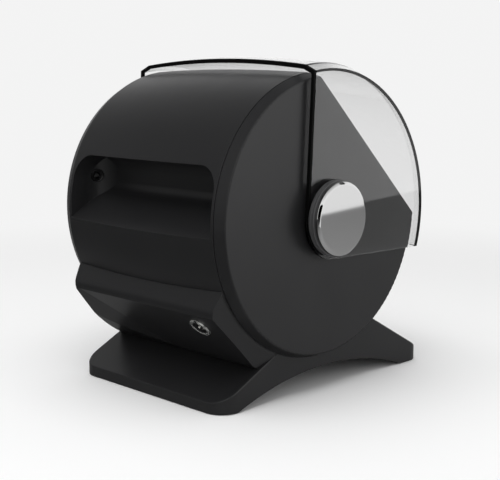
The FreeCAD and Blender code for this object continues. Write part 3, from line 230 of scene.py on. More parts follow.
@dataclass(frozen=True)
class ClearPlastic(Finish):
    """Clear plastic from a bright mould: glassy, with a faint slow wave from the flow of the melt."""

    name: str
    colour: str
    roughness: float
    ior: float
    wave_mm: float
    wave_depth_mm: float
    smoke: str
    smoke_per_metre: float

    def build(self) -> bpy.types.Material:
        """Make the material from its nodes, clear to the light that casts shadows.

        Returns:
            The new material.
        """
        material = empty_material(self.name)
        tree = material.node_tree
        place = add_node(tree, "ShaderNodeTexCoord").outputs["Object"]
        wave = add_node(
            tree, "ShaderNodeTexNoise", {"Vector": place, "Scale": per_metre(self.wave_mm), "Detail": 1.0}
        ).outputs["Fac"]
        relief = add_node(tree, "ShaderNodeBump", {"Height": wave, "Distance": self.wave_depth_mm * MM})
        sheet = add_node(
            tree,
            "ShaderNodeBsdfPrincipled",
            {
                "Base Color": linear(self.colour),
                "Roughness": self.roughness,
                "IOR": self.ior,
                "Transmission Weight": 1.0,
                "Normal": relief,
            },
        )
        passed = add_node(tree, "ShaderNodeBsdfTransparent", {"Color": linear(self.colour)})
        shadow = add_node(tree, "ShaderNodeLightPath").outputs["Is Shadow Ray"]
        surface = add_node(tree, "ShaderNodeMixShader", {0: shadow, 1: sheet, 2: passed})
        depth = add_node(
            tree, "ShaderNodeVolumeAbsorption", {"Color": linear(self.smoke), "Density": self.smoke_per_metre}
        )
        add_node(tree, "ShaderNodeOutputMaterial", {"Surface": surface, "Volume": depth})
        return material


@dataclass(frozen=True)
class BareMetal(Finish):
    """Metal with the marks of its making: rings from turning, or fine lines from drawing or rolling."""

    name: str
    colour: str
    roughness: float
    roughness_swing: float
    grain: Grain
    line_mm: float
    line_depth_mm: float
    metallic: float = 1.0
    line_waver: float = 1.5

    def build(self) -> bpy.types.Material:
        """Make the material from its nodes.

        Returns:
            The new material.
        """
        material = empty_material(self.name)
        tree = material.node_tree
        place = add_node(tree, "ShaderNodeTexCoord").outputs["Object"]
        centred = add_node(tree, "ShaderNodeMapping", {"Vector": place, "Location": -Pivot.centre()})
        lines = add_node(
            tree, "ShaderNodeTexNoise", {"Vector": centred, "Scale": per_metre(self.line_mm), "Detail": 2.0}
        ).outputs["Fac"]
        height = lines
        if self.grain is not Grain.SPARKED:
            height = add_node(
                tree,
                "ShaderNodeTexWave",
                {
                    "Vector": centred,
                    "Scale": per_metre(self.line_mm) / (2 * math.pi),
                    "Distortion": self.line_waver,
                    "Detail": 2.0,
                },
                wave_type=self.grain.value,
            ).outputs["Fac"]
        sheen = add_node(
            tree,
            "ShaderNodeMapRange",
            {
                "Value": lines,
                "From Min": NOISE_LOW,
                "From Max": NOISE_HIGH,
                "To Min": self.roughness - self.roughness_swing,
                "To Max": self.roughness + self.roughness_swing,
            },
        )
        relief = add_node(tree, "ShaderNodeBump", {"Height": height, "Distance": self.line_depth_mm * MM})
        shader = add_node(
            tree,
            "ShaderNodeBsdfPrincipled",
            {
                "Base Color": linear(self.colour),
                "Metallic": self.metallic,
                "Roughness": sheen,
                "Normal": relief,
            },
        )
        add_node(tree, "ShaderNodeOutputMaterial", {"Surface": shader})
        return material


# ABS from a fine sparked mould: a near-black that turns grey and silky where it faces the light at a slant.
# The real grain is about 0.1 mm, so it is drawn at 0.9 mm to show.
BLACK_ABS = MouldedPlastic(
    "moulded_black_abs", "#1F1F20", "#222223", "#303031",
    roughness=0.34, roughness_swing=0.03, grain_mm=0.9, grain_depth_mm=0.01,
)
# ABS from a polished mould: deeper black than the body, with a clear thin highlight along each edge.
# Its relief is the slow ripple of the polish, 1.5 mm from crest to crest.
BLACK_TRIM = MouldedPlastic(
    "glossy_black_trim", "#131314", "#171718", "#2A2A2B",
    roughness=0.22, roughness_swing=0.03, grain_mm=1.5, grain_depth_mm=0.003,
)
# Black sealing strip along the lid's rim and edges: the deepest black on the object, with next to no
# highlight even at a slant.
# Its black is partly the strip's own and partly painted shade, for the shadow in the gap under the rim and
# the dark line along the clear lid's edge.
SEAL_AND_GAP_SHADE_STRIP = MouldedPlastic(
    "black_seal_with_painted_gap_shade", "#070707", "#0A0A0A", "#101010",
    roughness=0.7, roughness_swing=0.05, grain_mm=0.5, grain_depth_mm=0.02, ior=1.2,
)
# Satin acetal: a mid charcoal that catches a broad soft light from above and stays dark below.
# Its vapour-blasted grain, about 0.1 mm, is drawn at 1 mm to show.
SATIN_ACETAL = MouldedPlastic(
    "satin_charcoal_acetal", "#464647", "#4A4A4B", "#5C5C5D",
    roughness=0.42, roughness_swing=0.04, grain_mm=1.0, grain_depth_mm=0.004,
)
# Nylon filled with glass fibre: dull charcoal with a faintly cloudy, dry surface.
DARK_NYLON = MouldedPlastic(
    "dark_glass_filled_nylon", "#3A3A3C", "#424244", "#545456",
    roughness=0.5, roughness_swing=0.05, grain_mm=0.7, grain_depth_mm=0.03,
)
# Acetal, moulded for bearings: a waxy mid grey with a soft low sheen.
GREY_ACETAL = MouldedPlastic(
    "grey_acetal", "#5F6062", "#666769", "#77787A",
    roughness=0.38, roughness_swing=0.04, grain_mm=1.2, grain_depth_mm=0.006,
)
# Natural nylon: a warm off-white case that scatters light softly.
PALE_NYLON = MouldedPlastic(
    "pale_sensor_nylon", "#D8D7D1", "#DEDDD8", "#E6E5E1",
    roughness=0.45, roughness_swing=0.05, grain_mm=0.8, grain_depth_mm=0.01,
)
# Moulded rubber: almost no highlight, and a dusty grey on worn edges.
BLACK_RUBBER = MouldedPlastic(
    "soft_black_rubber", "#1F1F20", "#252526", "#333334",
    roughness=0.72, roughness_swing=0.06, grain_mm=0.6, grain_depth_mm=0.04,
)
# Powder-coated sheet steel: a soft charcoal with the slight orange peel of baked powder, about 2 mm
# from bump to bump.
PAINTED_SHEET = MouldedPlastic(
    "painted_black_sheet", "#464648", "#4B4B4D", "#5C5C5E",
    roughness=0.48, roughness_swing=0.05, grain_mm=2.2, grain_depth_mm=0.02,
)
# Pressed and fired ceramic: chalky cream with a fine gritty skin.
PRESSED_CERAMIC = MouldedPlastic(
    "pressed_ceramic", "#C2BAAA", "#CFC8BA", "#D8D2C6",
    roughness=0.75, roughness_swing=0.08, grain_mm=0.5, grain_depth_mm=0.03,
)
# Glass laminate under green solder mask: a wet-looking green, brownish where the cut edge shows.
BOARD_MASK = MouldedPlastic(
    "solder_mask_laminate", "#174A2F", "#1D5A3A", "#8A8250",
    roughness=0.32, roughness_swing=0.06, grain_mm=3.0, grain_depth_mm=0.02, mottle_mm=9.0,
)
# Polycarbonate from a polished mould: clear as glass, slightly smoky through its edges, with slow flow waves.
CLEAR_SHEET = ClearPlastic(
    "clear_polycarbonate", "#FCFCFC",
    roughness=0.0, ior=1.49, wave_mm=45.0, wave_depth_mm=0.008, smoke="#606264", smoke_per_metre=7.0,
)
# Bright chrome on a turned cap: a mirror with hair-fine rings, which are drawn at 0.8 mm to show.
CHROME_CAP = BareMetal(
    "bright_chrome", "#DEDEDE",
    roughness=0.035, roughness_swing=0.01, grain=Grain.TURNED, line_mm=0.8, line_depth_mm=0.0002,
)
# Turned steel: bright grey with fine rings that smear each highlight; the rings are drawn at 0.5 mm to show.
TURNED_STEEL = BareMetal(
    "turned_steel", "#BBBCBE",
    roughness=0.28, roughness_swing=0.06, grain=Grain.TURNED, line_mm=0.5, line_depth_mm=0.002,
)
# Rolled aluminium strip: pale and streaky along the rolling lines.
BARE_ALUMINIUM = BareMetal(
    "bare_aluminium_fin", "#CFD0D2",
    roughness=0.34, roughness_swing=0.07, grain=Grain.DRAWN, line_mm=0.4, line_depth_mm=0.002,
)
# Satin nickel over blasted brass: a bright soft line where it rounds over, and a milky grey elsewhere.
# The blasted grain, about 0.1 mm, is drawn at 0.6 mm to show, as it is on the contacts.
SATIN_NICKEL = BareMetal(
    "satin_nickel_brass", "#ECECE9",
    roughness=0.2, roughness_swing=0.04, grain=Grain.SPARKED, line_mm=0.6, line_depth_mm=0.001, metallic=0.88,
)
# Nickel-plated contact: a little warmer than the ring round it, and pale enough to stand out in the bore.
NICKEL_PIN = BareMetal(
    "nickel_plated_contact", "#E4E2DC",
    roughness=0.3, roughness_swing=0.05, grain=Grain.SPARKED, line_mm=0.6, line_depth_mm=0.002, metallic=0.3,
)


class SubAssembly:
    """A group of the object's pieces that belong together, with the tools that shape them.

    Lengths in the fields of each group are millimetres, and angles are degrees.
    """

    def dress(self, finish: Finish, *nodes: str) -> None:
        """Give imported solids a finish.

        Args:
            finish: The finish they get.
            nodes: The names of the solids.
        """
        for name in nodes:
            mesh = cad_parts[name].data
            mesh.materials.clear()
            mesh.materials.append(finish.material())
            LOG.info("%s is %s", name, finish.name)

    def corners(self, node: str) -> list[Vector]:
        """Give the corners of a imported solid, in metres."""
        return [vertex.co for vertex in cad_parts[node].data.vertices]

    def loose_parts(self, node: str) -> list[list[Vector]]:
        """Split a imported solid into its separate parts.

        Args:
            node: The name of the solid.

        Returns:
            The corners of each part, in metres.
        """
        shape = bmesh.new()
        shape.from_mesh(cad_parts[node].data)
        bmesh.ops.remove_doubles(shape, verts=shape.verts, dist=MERGE_DISTANCE)
        seen: set[bmesh.types.BMVert] = set()
        parts = []
        for first in shape.verts:
            if first in seen:
                continue
            seen.add(first)
            part = [first]
            for vert in part:
                for edge in vert.link_edges:
                    other = edge.other_vert(vert)
                    if other not in seen:
                        seen.add(other)
                        part.append(other)
            parts.append([vert.co.copy() for vert in part])
        shape.free()
        return parts

    def facing(self, node: str) -> Vector:
        """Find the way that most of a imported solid's flat surface faces, on the side of the object's back.

        Args:
            node: The name of the solid.

        Returns:
            The direction, of length 1.
        """
        sums: dict[tuple[float, ...], Vector] = {}
        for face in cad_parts[node].data.polygons:
            normal = face.normal if face.normal.y > 0 else -face.normal
            key = tuple(round(part, 2) + 0.0 for part in normal)
            sums[key] = sums.get(key, Vector()) + normal * face.area
        return max(sums.values(), key=lambda total: total.length).normalized()

    def stand_on(self, corners: list[Vector], axis: Vector) -> tuple[Vector, float]:
        """Find where a round solid starts on its axis, and how long it is.

        Args:
            corners: The solid's corners.
            axis: The direction of its axis.

        Returns:
            The point of the axis at its inner end, and its length, in metres.
        """
        across = axis.orthogonal().normalized()
        upright = axis.cross(across)
        along = [corner.dot(axis) for corner in corners]
        foot = axis * min(along)
        for way in (across, upright):
            reach = [corner.dot(way) for corner in corners]
            foot += way * (min(reach) + max(reach)) / 2
        return foot, max(along) - min(along)

    def turn(
        self,
        shape: bmesh.types.BMesh,
        foot: Vector,
        axis: Vector,
        profile: list[tuple[float, float]],
        steps: int = 72,
        start: Vector | None = None,
        angle: float = math.tau,
    ) -> None:
        """Turn a profile round an axis, as on a lathe.

        Args:
            shape: The shape that it goes into.
            foot: The point of the axis that the profile is measured from.
            axis: The direction of the axis.
            profile: Points of the profile, along the axis and out from it, in millimetres.
            steps: How many steps one turn has.
            start: The direction that the turn starts from, where it matters.
            angle: How far it turns.
        """
        side = start or axis.orthogonal().normalized()
        line = [shape.verts.new(foot + axis * along * MM + side * out * MM) for along, out in profile]
        edges = [shape.edges.new(ends) for ends in zip(line, line[1:])]
        full = angle == math.tau
        bmesh.ops.spin(
            shape, geom=line + edges, cent=foot, axis=axis, angle=angle, steps=steps, use_merge=full
        )

    def soften(self, shape: bmesh.types.BMesh, width: float) -> None:
        """Close a shape, point its faces outwards and round its sharp edges.

        Args:
            shape: The shape.
            width: How wide the rounding is, in millimetres.
        """
        bmesh.ops.remove_doubles(shape, verts=shape.verts, dist=MERGE_DISTANCE)
        bmesh.ops.holes_fill(shape, edges=shape.edges, sides=0)
        bmesh.ops.recalc_face_normals(shape, faces=shape.faces)
        joined = [edge for edge in shape.edges if edge.is_manifold]
        sharp = [edge for edge in joined if edge.calc_face_angle() > ROUNDED_ANGLE]
        bmesh.ops.bevel(
            shape,
            geom=sharp,
            offset=width * MM,
            offset_type="OFFSET",
            segments=3,
            profile=0.5,
            affect="EDGES",
            clamp_overlap=True,
            material=-1,
        )

    def place(
        self, shape: bmesh.types.BMesh, name: str, body: str, slot: str, finish: Finish, *nodes: str
    ) -> None:
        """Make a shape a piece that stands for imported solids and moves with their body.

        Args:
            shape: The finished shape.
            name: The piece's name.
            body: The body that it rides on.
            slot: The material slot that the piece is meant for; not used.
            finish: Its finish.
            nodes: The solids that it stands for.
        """
        mesh = bpy.data.meshes.new(name)
        shape.to_mesh(mesh)
        shape.free()
        mesh.shade_smooth()
        mesh.set_sharp_from_angle(angle=CRISP_ANGLE)
        mesh.materials.append(finish.material())
        piece = bpy.data.objects.new(name, mesh)
        bpy.context.scene.collection.objects.link(piece)
        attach(piece, body)
        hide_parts(*nodes)
        LOG.info("%s built for %s", name, ", ".join(nodes) or "no packed solid")


@dataclass
class Fasteners(SubAssembly):
    """The screws, with domed heads and hexagon sockets."""

    shank_radius: float = 1.5
    tip_taper: float = 0.4
    tip_length: float = 0.5
    head_radius: float = 2.8
    head_height: float = 1.8
    head_edge: float = 0.15
    rim_height: float = 0.7
    dome_height: float = 1.3
    dome_drop: float = 0.3
    crown_width: float = 0.5
    crown_drop: float = 0.1
    socket_radius: float = 1.5
    socket_depth: float = 1.1
    socket_lip: float = 0.2
    drill_point: float = 0.4
    near: float = 0.01
    steps: int = 24

    def screw(self, shape: bmesh.types.BMesh, corners: list[Vector], axis: Vector) -> None:
        """Add one screw in the place of a packed one.

        Args:
            shape: The shape that collects the set's screws.
            corners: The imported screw's corners.
            axis: The direction of its axis, either way.
        """
        foot, length = self.stand_on(corners, axis)
        wide = max(corners, key=lambda corner: (corner - foot - axis * (corner - foot).dot(axis)).length)
        if (wide - foot).dot(axis) < length / 2:
            foot, axis = foot + axis * length, -axis
        top = length / MM
        under = top - self.head_height
        pit = top - self.socket_depth
        before = set(shape.verts)
        profile = [
            (0.0, 0.0),
            (0.0, self.shank_radius - self.tip_taper),
            (self.tip_length, self.shank_radius),
            (under, self.shank_radius),
            (under, self.head_radius - self.head_edge),
            (under + self.head_edge, self.head_radius),
            (under + self.rim_height, self.head_radius),
            (under + self.dome_height, self.head_radius - self.dome_drop),
            (top - self.crown_drop, self.socket_radius + self.crown_width),
            (top, self.socket_radius + self.socket_lip),
            (top, self.socket_radius),
            (pit, self.socket_radius),
            (pit - self.drill_point, 0.0),
        ]
        self.turn(shape, foot, axis, profile, self.steps)
        side = axis.orthogonal().normalized()
        half_flat = math.radians(30)
        for vert in set(shape.verts) - before:
            reach = vert.co - foot
            height = reach.dot(axis)
            out = reach - axis * height
            in_socket = height > (pit - self.near) * MM
            if in_socket and abs(out.length / MM - self.socket_radius) < self.near:
                turn = out.angle(side) % (2 * half_flat) - half_flat
                vert.co -= out * (1 - math.cos(half_flat) / math.cos(turn))

    def build(self) -> None:
        """Make every set of screws."""
        slant = self.facing("inlet_core")
        ways = {
            "cover_screws": Vector((1, 0, 0)),
            "collar_screws": Vector((1, 0, 0)),
            "bracket_screws": Vector((1, 0, 0)),
            "stand_screws": Vector((0, 0, 1)),
            "housing_screws": slant,
            "board_screws": slant,
        }
        for node, axis in ways.items():
            shape = bmesh.new()
            for corners in self.loose_parts(node):
                self.screw(shape, corners, axis)
            bmesh.ops.remove_doubles(shape, verts=shape.verts, dist=MERGE_DISTANCE)
            bmesh.ops.recalc_face_normals(shape, faces=shape.faces)
            self.place(shape, "socket_" + node, "housing", "steel", TURNED_STEEL, node)


@dataclass
class DrumBody(SubAssembly):
    """The barrel with its two end covers and the bush that filament leaves through.

    The bush's lip and flare are points below its mouth: in from the flange's edge, and out from the bore.
    """

    bush_bore: float = 2.1
    bush_stem: float = 5.5
    bush_flange: float = 7.2
    bush_flange_back: float = 3.8
    bush_lip: tuple[tuple[float, float], ...] = ((0.7, 0.0), (0.0, 0.6), (0.25, 1.2))
    bush_flare: tuple[tuple[float, float], ...] = ((1.4, 2.2), (3.0, 0.8), (5.0, 0.1))
    bush_round: float = 0.2

    def build_outlet(self) -> None:
        """Turn the outlet bush with a flared mouth, so that filament runs over no edge."""
        axis = self.facing("filament_outlet_bush")
        foot, length = self.stand_on(self.corners("filament_outlet_bush"), axis)
        top = length / MM
        profile = [
            (0.0, self.bush_bore),
            (0.0, self.bush_stem),
            (self.bush_flange_back, self.bush_stem),
            (self.bush_flange_back, self.bush_flange),
            *((top - down, self.bush_flange - inward) for down, inward in self.bush_lip),
            *((top - down, self.bush_bore + outward) for down, outward in self.bush_flare),
            (0.0, self.bush_bore),
        ]
        shape = bmesh.new()
        self.turn(shape, foot, axis, profile)
        self.soften(shape, self.bush_round)
        self.place(shape, "flared_outlet_bush", "housing", "dark_trim", BLACK_TRIM, "filament_outlet_bush")

    def build(self) -> None:
        """Dress the drum and its covers, and make the outlet."""
        self.dress(BLACK_ABS, "drum_shell", "left_side_cover", "right_side_cover")
        self.build_outlet()


@dataclass
class ClearLid(SubAssembly):
    """The clear lid with its black rear strip, whose black is partly painted shade, and its two bearing
    bushes.
    """

    def build(self) -> None:
        """Dress the lid's pieces."""
        self.dress(CLEAR_SHEET, "clear_lid")
        # The strip's deepest black is partly painted shade for the gap under the lid's rim and the lid's dark
        # edge
        self.dress(SEAL_AND_GAP_SHADE_STRIP, "lid_edge_trim")
        self.dress(GREY_ACETAL, "left_lid_bush", "right_lid_bush")


@dataclass
class Pivot(SubAssembly):
    """The collars, the chrome knob and cap, and the encoder that the knob turns."""

    face: float = 35.4
    face_border: float = 0.8
    skirt: float = 38.5
    skirt_inside: float = 35.5
    skirt_height: float = 5.0
    wall: float = 2.4
    bevel: float = 1.8
    stem: float = 6.0
    stem_bore: float = 3.0
    cap_round: float = 0.3
    collar: float = 40.0
    collar_inside: float = 36.0
    collar_floor: float = 3.0
    collar_bore: float = 8.0
    collar_foot: float = 2.2
    collar_foot_height: float = 1.8
    collar_shoulder: float = 2.4
    collar_round: float = 0.4
    groove_place: float = 3.2
    groove_half: float = 0.4
    groove_depth: float = 0.8
    steps: int = 128

    @staticmethod
    def centre() -> Vector:
        """Give the point where the drum's axis crosses the middle plane.

        Returns:
            The point, in metres.
        """
        low, high = (Vector(corner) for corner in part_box("control_knob"))
        middle = (low + high) / 2
        return Vector((0, middle.y, middle.z))

    def build_cap(self, node: str, name: str, body: str, outward: float, bore: float) -> None:
        """Turn a chrome cap with a bevelled rim and a flat mirror face.

        Args:
            node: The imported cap.
            name: The piece's name.
            body: The body that it rides on.
            outward: Which way its face looks along the drum's axis.
            bore: The radius of the hole in its stem, or 0.
        """
        axis = Vector((outward, 0, 0))
        foot, length = self.stand_on(self.corners(node), axis)
        top = length / MM
        under = top - self.wall
        rim = top - self.skirt_height
        profile = [
            (under if bore else 0.0, 0.0),
            (under if bore else 0.0, bore),
            (0.0, bore),
            (0.0, self.stem),
            (under, self.stem),
            (under, self.skirt_inside),
            (rim, self.skirt_inside),
            (rim, self.skirt),
            (top - self.bevel, self.skirt),
            (top, self.face),
            (top, self.face - self.face_border),
            (top, 0.0),
        ]
        shape = bmesh.new()
        self.turn(shape, foot, axis, profile, self.steps)
        self.soften(shape, self.cap_round)
        self.place(shape, name, body, "chrome_cap", CHROME_CAP, node)

    def build_collar(self, node: str, name: str, outward: float) -> None:
        """Turn a collar with a fine groove behind its rim.

        Args:
            node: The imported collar.
            name: The piece's name.
            outward: Which way it stands out along the drum's axis.
        """
        axis = Vector((outward, 0, 0))
        foot, length = self.stand_on(self.corners(node), axis)
        top = length / MM
        groove = top - self.groove_place
        profile = [
            (0.0, self.collar_bore),
            (0.0, self.collar - self.collar_foot),
            (self.collar_foot_height, self.collar - self.collar_foot),
            (self.collar_shoulder, self.collar),
            (groove - self.groove_half, self.collar),
            (groove, self.collar - self.groove_depth),
            (groove + self.groove_half, self.collar),
            (top, self.collar),
            (top, self.collar_inside),
            (self.collar_floor, self.collar_inside),
            (self.collar_floor, self.collar_bore),
            (0.0, self.collar_bore),
        ]
        shape = bmesh.new()
        self.turn(shape, foot, axis, profile, self.steps)
        self.soften(shape, self.collar_round)
        self.place(shape, name, "housing", "dark_trim", SATIN_ACETAL, node)

    def build(self) -> None:
        """Make the caps and the collars, and dress what the knob turns."""
        self.build_cap("control_knob", "bevelled_control_knob", "knob", -1, self.stem_bore)
        self.build_cap("right_pivot_cap", "bevelled_pivot_cap", "housing", 1, 0.0)
        self.build_collar("left_pivot_collar", "grooved_left_collar", -1)
        self.build_collar("right_pivot_collar", "grooved_right_collar", 1)
        self.dress(DARK_NYLON, "knob_encoder")
        self.dress(TURNED_STEEL, "encoder_nut", "encoder_shaft")


@dataclass
class RollerBed(SubAssembly):
    """The two rollers that a spool turns on, with their brackets."""

    def build(self) -> None:
        """Dress the rollers and their brackets."""
        self.dress(TURNED_STEEL, "front_roller_shaft", "rear_roller_shaft")
        self.dress(BLACK_RUBBER, "front_roller_sleeve", "rear_roller_sleeve")
        self.dress(GREY_ACETAL, "left_roller_bracket", "right_roller_bracket")


@dataclass
class WarmAir(SubAssembly):
    """The vented floor plate with the heater and the fan under it, and the sensor that reads the air."""

    case_round: float = 1.2
    slots: int = 5
    slot_margin: float = 1.0
    slot_depth: float = 0.8
    slot_draft: float = 0.1
    strip_area: float = 10.0
    square_on: float = 0.99

    def build_sensor(self) -> None:
        """Make the sensor's case with rounded edges and a row of air slots on the side of the spool."""
        low, high = (Vector(corner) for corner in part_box("humidity_sensor"))
        shape = bmesh.new()
        bmesh.ops.create_cube(shape, size=1.0)
        bmesh.ops.scale(shape, verts=shape.verts, vec=high - low)
        bmesh.ops.translate(shape, verts=shape.verts, vec=(low + high) / 2)
        self.soften(shape, self.case_round)
        front = max(shape.faces, key=lambda face: (face.normal.x > self.square_on, face.calc_area()))
        long_edges = [edge for edge in front.edges if abs(edge.verts[0].co.y - edge.verts[1].co.y) > MM]
        bmesh.ops.subdivide_edges(shape, edges=long_edges, cuts=self.slots - 1)
        shape.faces.ensure_lookup_table()
        ahead = [face for face in shape.faces if face.normal.x > self.square_on]
        strips = [face for face in ahead if face.calc_area() > self.strip_area * MM * MM]
        bmesh.ops.inset_individual(
            shape, faces=strips, thickness=self.slot_margin * MM, depth=0.0, use_even_offset=True
        )
        pressed = bmesh.ops.inset_individual(
            shape,
            faces=strips,
            thickness=self.slot_draft * MM,
            depth=-self.slot_depth * MM,
            use_even_offset=True,
        )
        LOG.info("%d faces line the sensor's slots", len(pressed["faces"]))
        self.place(shape, "vented_sensor_case", "housing", "sensor_case", PALE_NYLON, "humidity_sensor")

    def build(self) -> None:
        """Dress the heater, the fan and the floor plate, and make the sensor."""
        self.dress(PAINTED_SHEET, "floor_plate")
        self.dress(BARE_ALUMINIUM, "heater_fins")
        self.dress(PRESSED_CERAMIC, "heater_core")
        self.dress(DARK_NYLON, "fan_frame", "fan_impeller")
        self.build_sensor()


@dataclass
class RearHousing(SubAssembly):
    """The bulge low on the back with the power inlet and the control board.

    The bead's sides are points below its top: in from the flange's edge, and out from the bore.
    """

    bore: float = 8.5
    barrel: float = 10.0
    flange: float = 12.0
    flange_back: float = 10.0
    ring_round: float = 0.3
    bead: float = 1.1
    bead_foot: float = 0.2
    bead_outside: tuple[tuple[float, float], ...] = ((0.4, 0.1), (0.0, 0.7))
    bead_inside: tuple[tuple[float, float], ...] = ((0.0, 0.9), (0.4, 0.3))
    bead_steps: int = 68
    key_angle: float = 22.0
    key_play: float = 1.0
    key_lean: float = 0.15
    sleeve_wall: float = 0.8
    sleeve_lip: float = 0.3
    sleeve_round: float = 0.1
    rib_seat: float = 0.2
    rib_inset: float = 0.3
    rib_steps: int = 6
    pin_radius: float = 1.3
    pin_round: float = 0.05
    pin_steps: int = 24

    def key_way(self, axis: Vector) -> Vector:
        """Give the direction from the inlet's axis to its key: up the facet, leaning a little.

        Args:
            axis: The direction of the inlet's axis.

        Returns:
            The direction, of length 1.
        """
        upward = axis.cross(Vector((1, 0, 0))).normalized()
        upward = upward if upward.z > 0 else -upward
        return (upward - Vector((self.key_lean, 0, 0))).normalized()

    def build_ring(self, foot: Vector, axis: Vector, top: float) -> None:
        """Turn the inlet's ring with a rounded bead that the key breaks.

        Args:
            foot: The inner end of the inlet's axis.
            axis: The direction of the axis.
            top: How long the ring is, in millimetres.
        """
        step = top - self.bead
        barrel = [
            (0.0, self.bore),
            (0.0, self.barrel),
            (self.flange_back, self.barrel),
            (self.flange_back, self.flange),
            (step, self.flange),
            (step, self.bore),
            (0.0, self.bore),
        ]
        bead = [
            (step, self.bore + self.bead_foot),
            (step, self.flange),
            *((top - down, self.flange - inward) for down, inward in self.bead_outside),
            *((top - down, self.bore + outward) for down, outward in self.bead_inside),
            (step, self.bore + self.bead_foot),
        ]
        start = Quaternion(axis, math.radians(self.key_angle / 2)) @ self.key_way(axis)
        ring = bmesh.new()
        self.turn(ring, foot, axis, barrel)
        self.turn(ring, foot, axis, bead, self.bead_steps, start, math.radians(360 - self.key_angle))
        self.soften(ring, self.ring_round)
        self.place(ring, "keyed_inlet_ring", "housing", "inlet_metal", SATIN_NICKEL, "inlet_shell")

    def build_sleeve(self, foot: Vector, axis: Vector, top: float) -> None:
        """Turn the black sleeve that lines the ring, with the rib that fills the key.

        Args:
            foot: The inner end of the inlet's axis.
            axis: The direction of the axis.
            top: How long the ring is, in millimetres.
        """
        floor = max((corner - foot).dot(axis) for corner in self.corners("inlet_core")) / MM
        step = top - self.bead
        lip = top - self.sleeve_lip
        inner = self.bore - self.sleeve_wall
        seat = self.bore - self.rib_seat
        sleeve = [
            (floor, self.bore),
            (floor, inner),
            (lip - self.sleeve_lip, inner),
            (lip, inner + self.sleeve_lip),
            (lip, self.bore),
            (floor, self.bore),
        ]
        rib = [
            (step, seat),
            (step, self.flange - self.rib_inset),
            (lip, self.flange - 2 * self.rib_inset),
            (lip, seat),
            (step, seat),
        ]
        start = Quaternion(axis, math.radians(self.key_play - self.key_angle / 2)) @ self.key_way(axis)
        wide = math.radians(self.key_angle - 2 * self.key_play)
        liner = bmesh.new()
        self.turn(liner, foot, axis, sleeve)
        self.turn(liner, foot, axis, rib, self.rib_steps, start, wide)
        self.soften(liner, self.sleeve_round)
        self.place(liner, "inlet_insulating_sleeve", "housing", "inner_plastic", BLACK_RUBBER)

    def build_pins(self, axis: Vector) -> None:
        """Turn the inlet's pins with domed ends.

        Args:
            axis: The direction of the inlet's axis.
        """
        pins = bmesh.new()
        radius = self.pin_radius
        for corners in self.loose_parts("inlet_pins"):
            foot, length = self.stand_on(corners, axis)
            shoulder = length / MM - radius
            dome = [(shoulder + radius * math.sin(a), radius * math.cos(a)) for a in DOME_ANGLES]
            self.turn(pins, foot, axis, [(0.0, 0.0), (0.0, radius), *dome], self.pin_steps)
        self.soften(pins, self.pin_round)
        self.place(pins, "domed_inlet_pins", "housing", "pin_metal", NICKEL_PIN, "inlet_pins")

    def build_inlet(self) -> None:
        """Make the inlet's ring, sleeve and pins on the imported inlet's axis."""
        axis = self.facing("inlet_core")
        foot, length = self.stand_on(self.corners("inlet_shell"), axis)
        self.build_ring(foot, axis, length / MM)
        self.build_sleeve(foot, axis, length / MM)
        self.build_pins(axis)

    def build(self) -> None:
        """Dress the housing and the board, and make the inlet."""
        self.dress(BLACK_ABS, "rear_housing")
        self.dress(SATIN_NICKEL, "inlet_nut")
        self.dress(DARK_NYLON, "inlet_core", "board_components")
        self.dress(BOARD_MASK, "control_board")
        self.build_inlet()


@dataclass
class Stand(SubAssembly):
    """The two splayed feet with the pads that they stand on."""

    pad_corner: float = 5.0
    pad_edge: float = 0.6

    def build_pads(self) -> None:
        """Mould the foot pads with round ends and softened edges."""
        shape = bmesh.new()
        for corners in self.loose_parts("foot_pads"):
            low = Vector([min(corner[side] for corner in corners) for side in range(3)])
            high = Vector([max(corner[side] for corner in corners) for side in range(3)])
            verts = bmesh.ops.create_cube(shape, size=1.0)["verts"]
            bmesh.ops.scale(shape, verts=verts, vec=high - low)
            bmesh.ops.translate(shape, verts=verts, vec=(low + high) / 2)
        upright = [edge for edge in shape.edges if abs(edge.verts[0].co.z - edge.verts[1].co.z) > MM]
        bmesh.ops.bevel(
            shape,
            geom=upright,
            offset=self.pad_corner * MM,
            offset_type="OFFSET",
            segments=6,
            profile=0.5,
            affect="EDGES",
            material=-1,
        )
        self.soften(shape, self.pad_edge)
        self.place(shape, "rounded_foot_pads", "housing", "rubber", BLACK_RUBBER, "foot_pads")

    def build(self) -> None:
        """Dress the stand and make its pads."""
        self.dress(BLACK_ABS, "stand")
        self.build_pads()


@dataclass(frozen=True)
class Softbox:
    """A flat studio lamp, placed from the drum's axis."""

    name: str
    place: tuple[float, float, float]
    width: float
    height: float
    brightness: float
    mirrored: bool = False


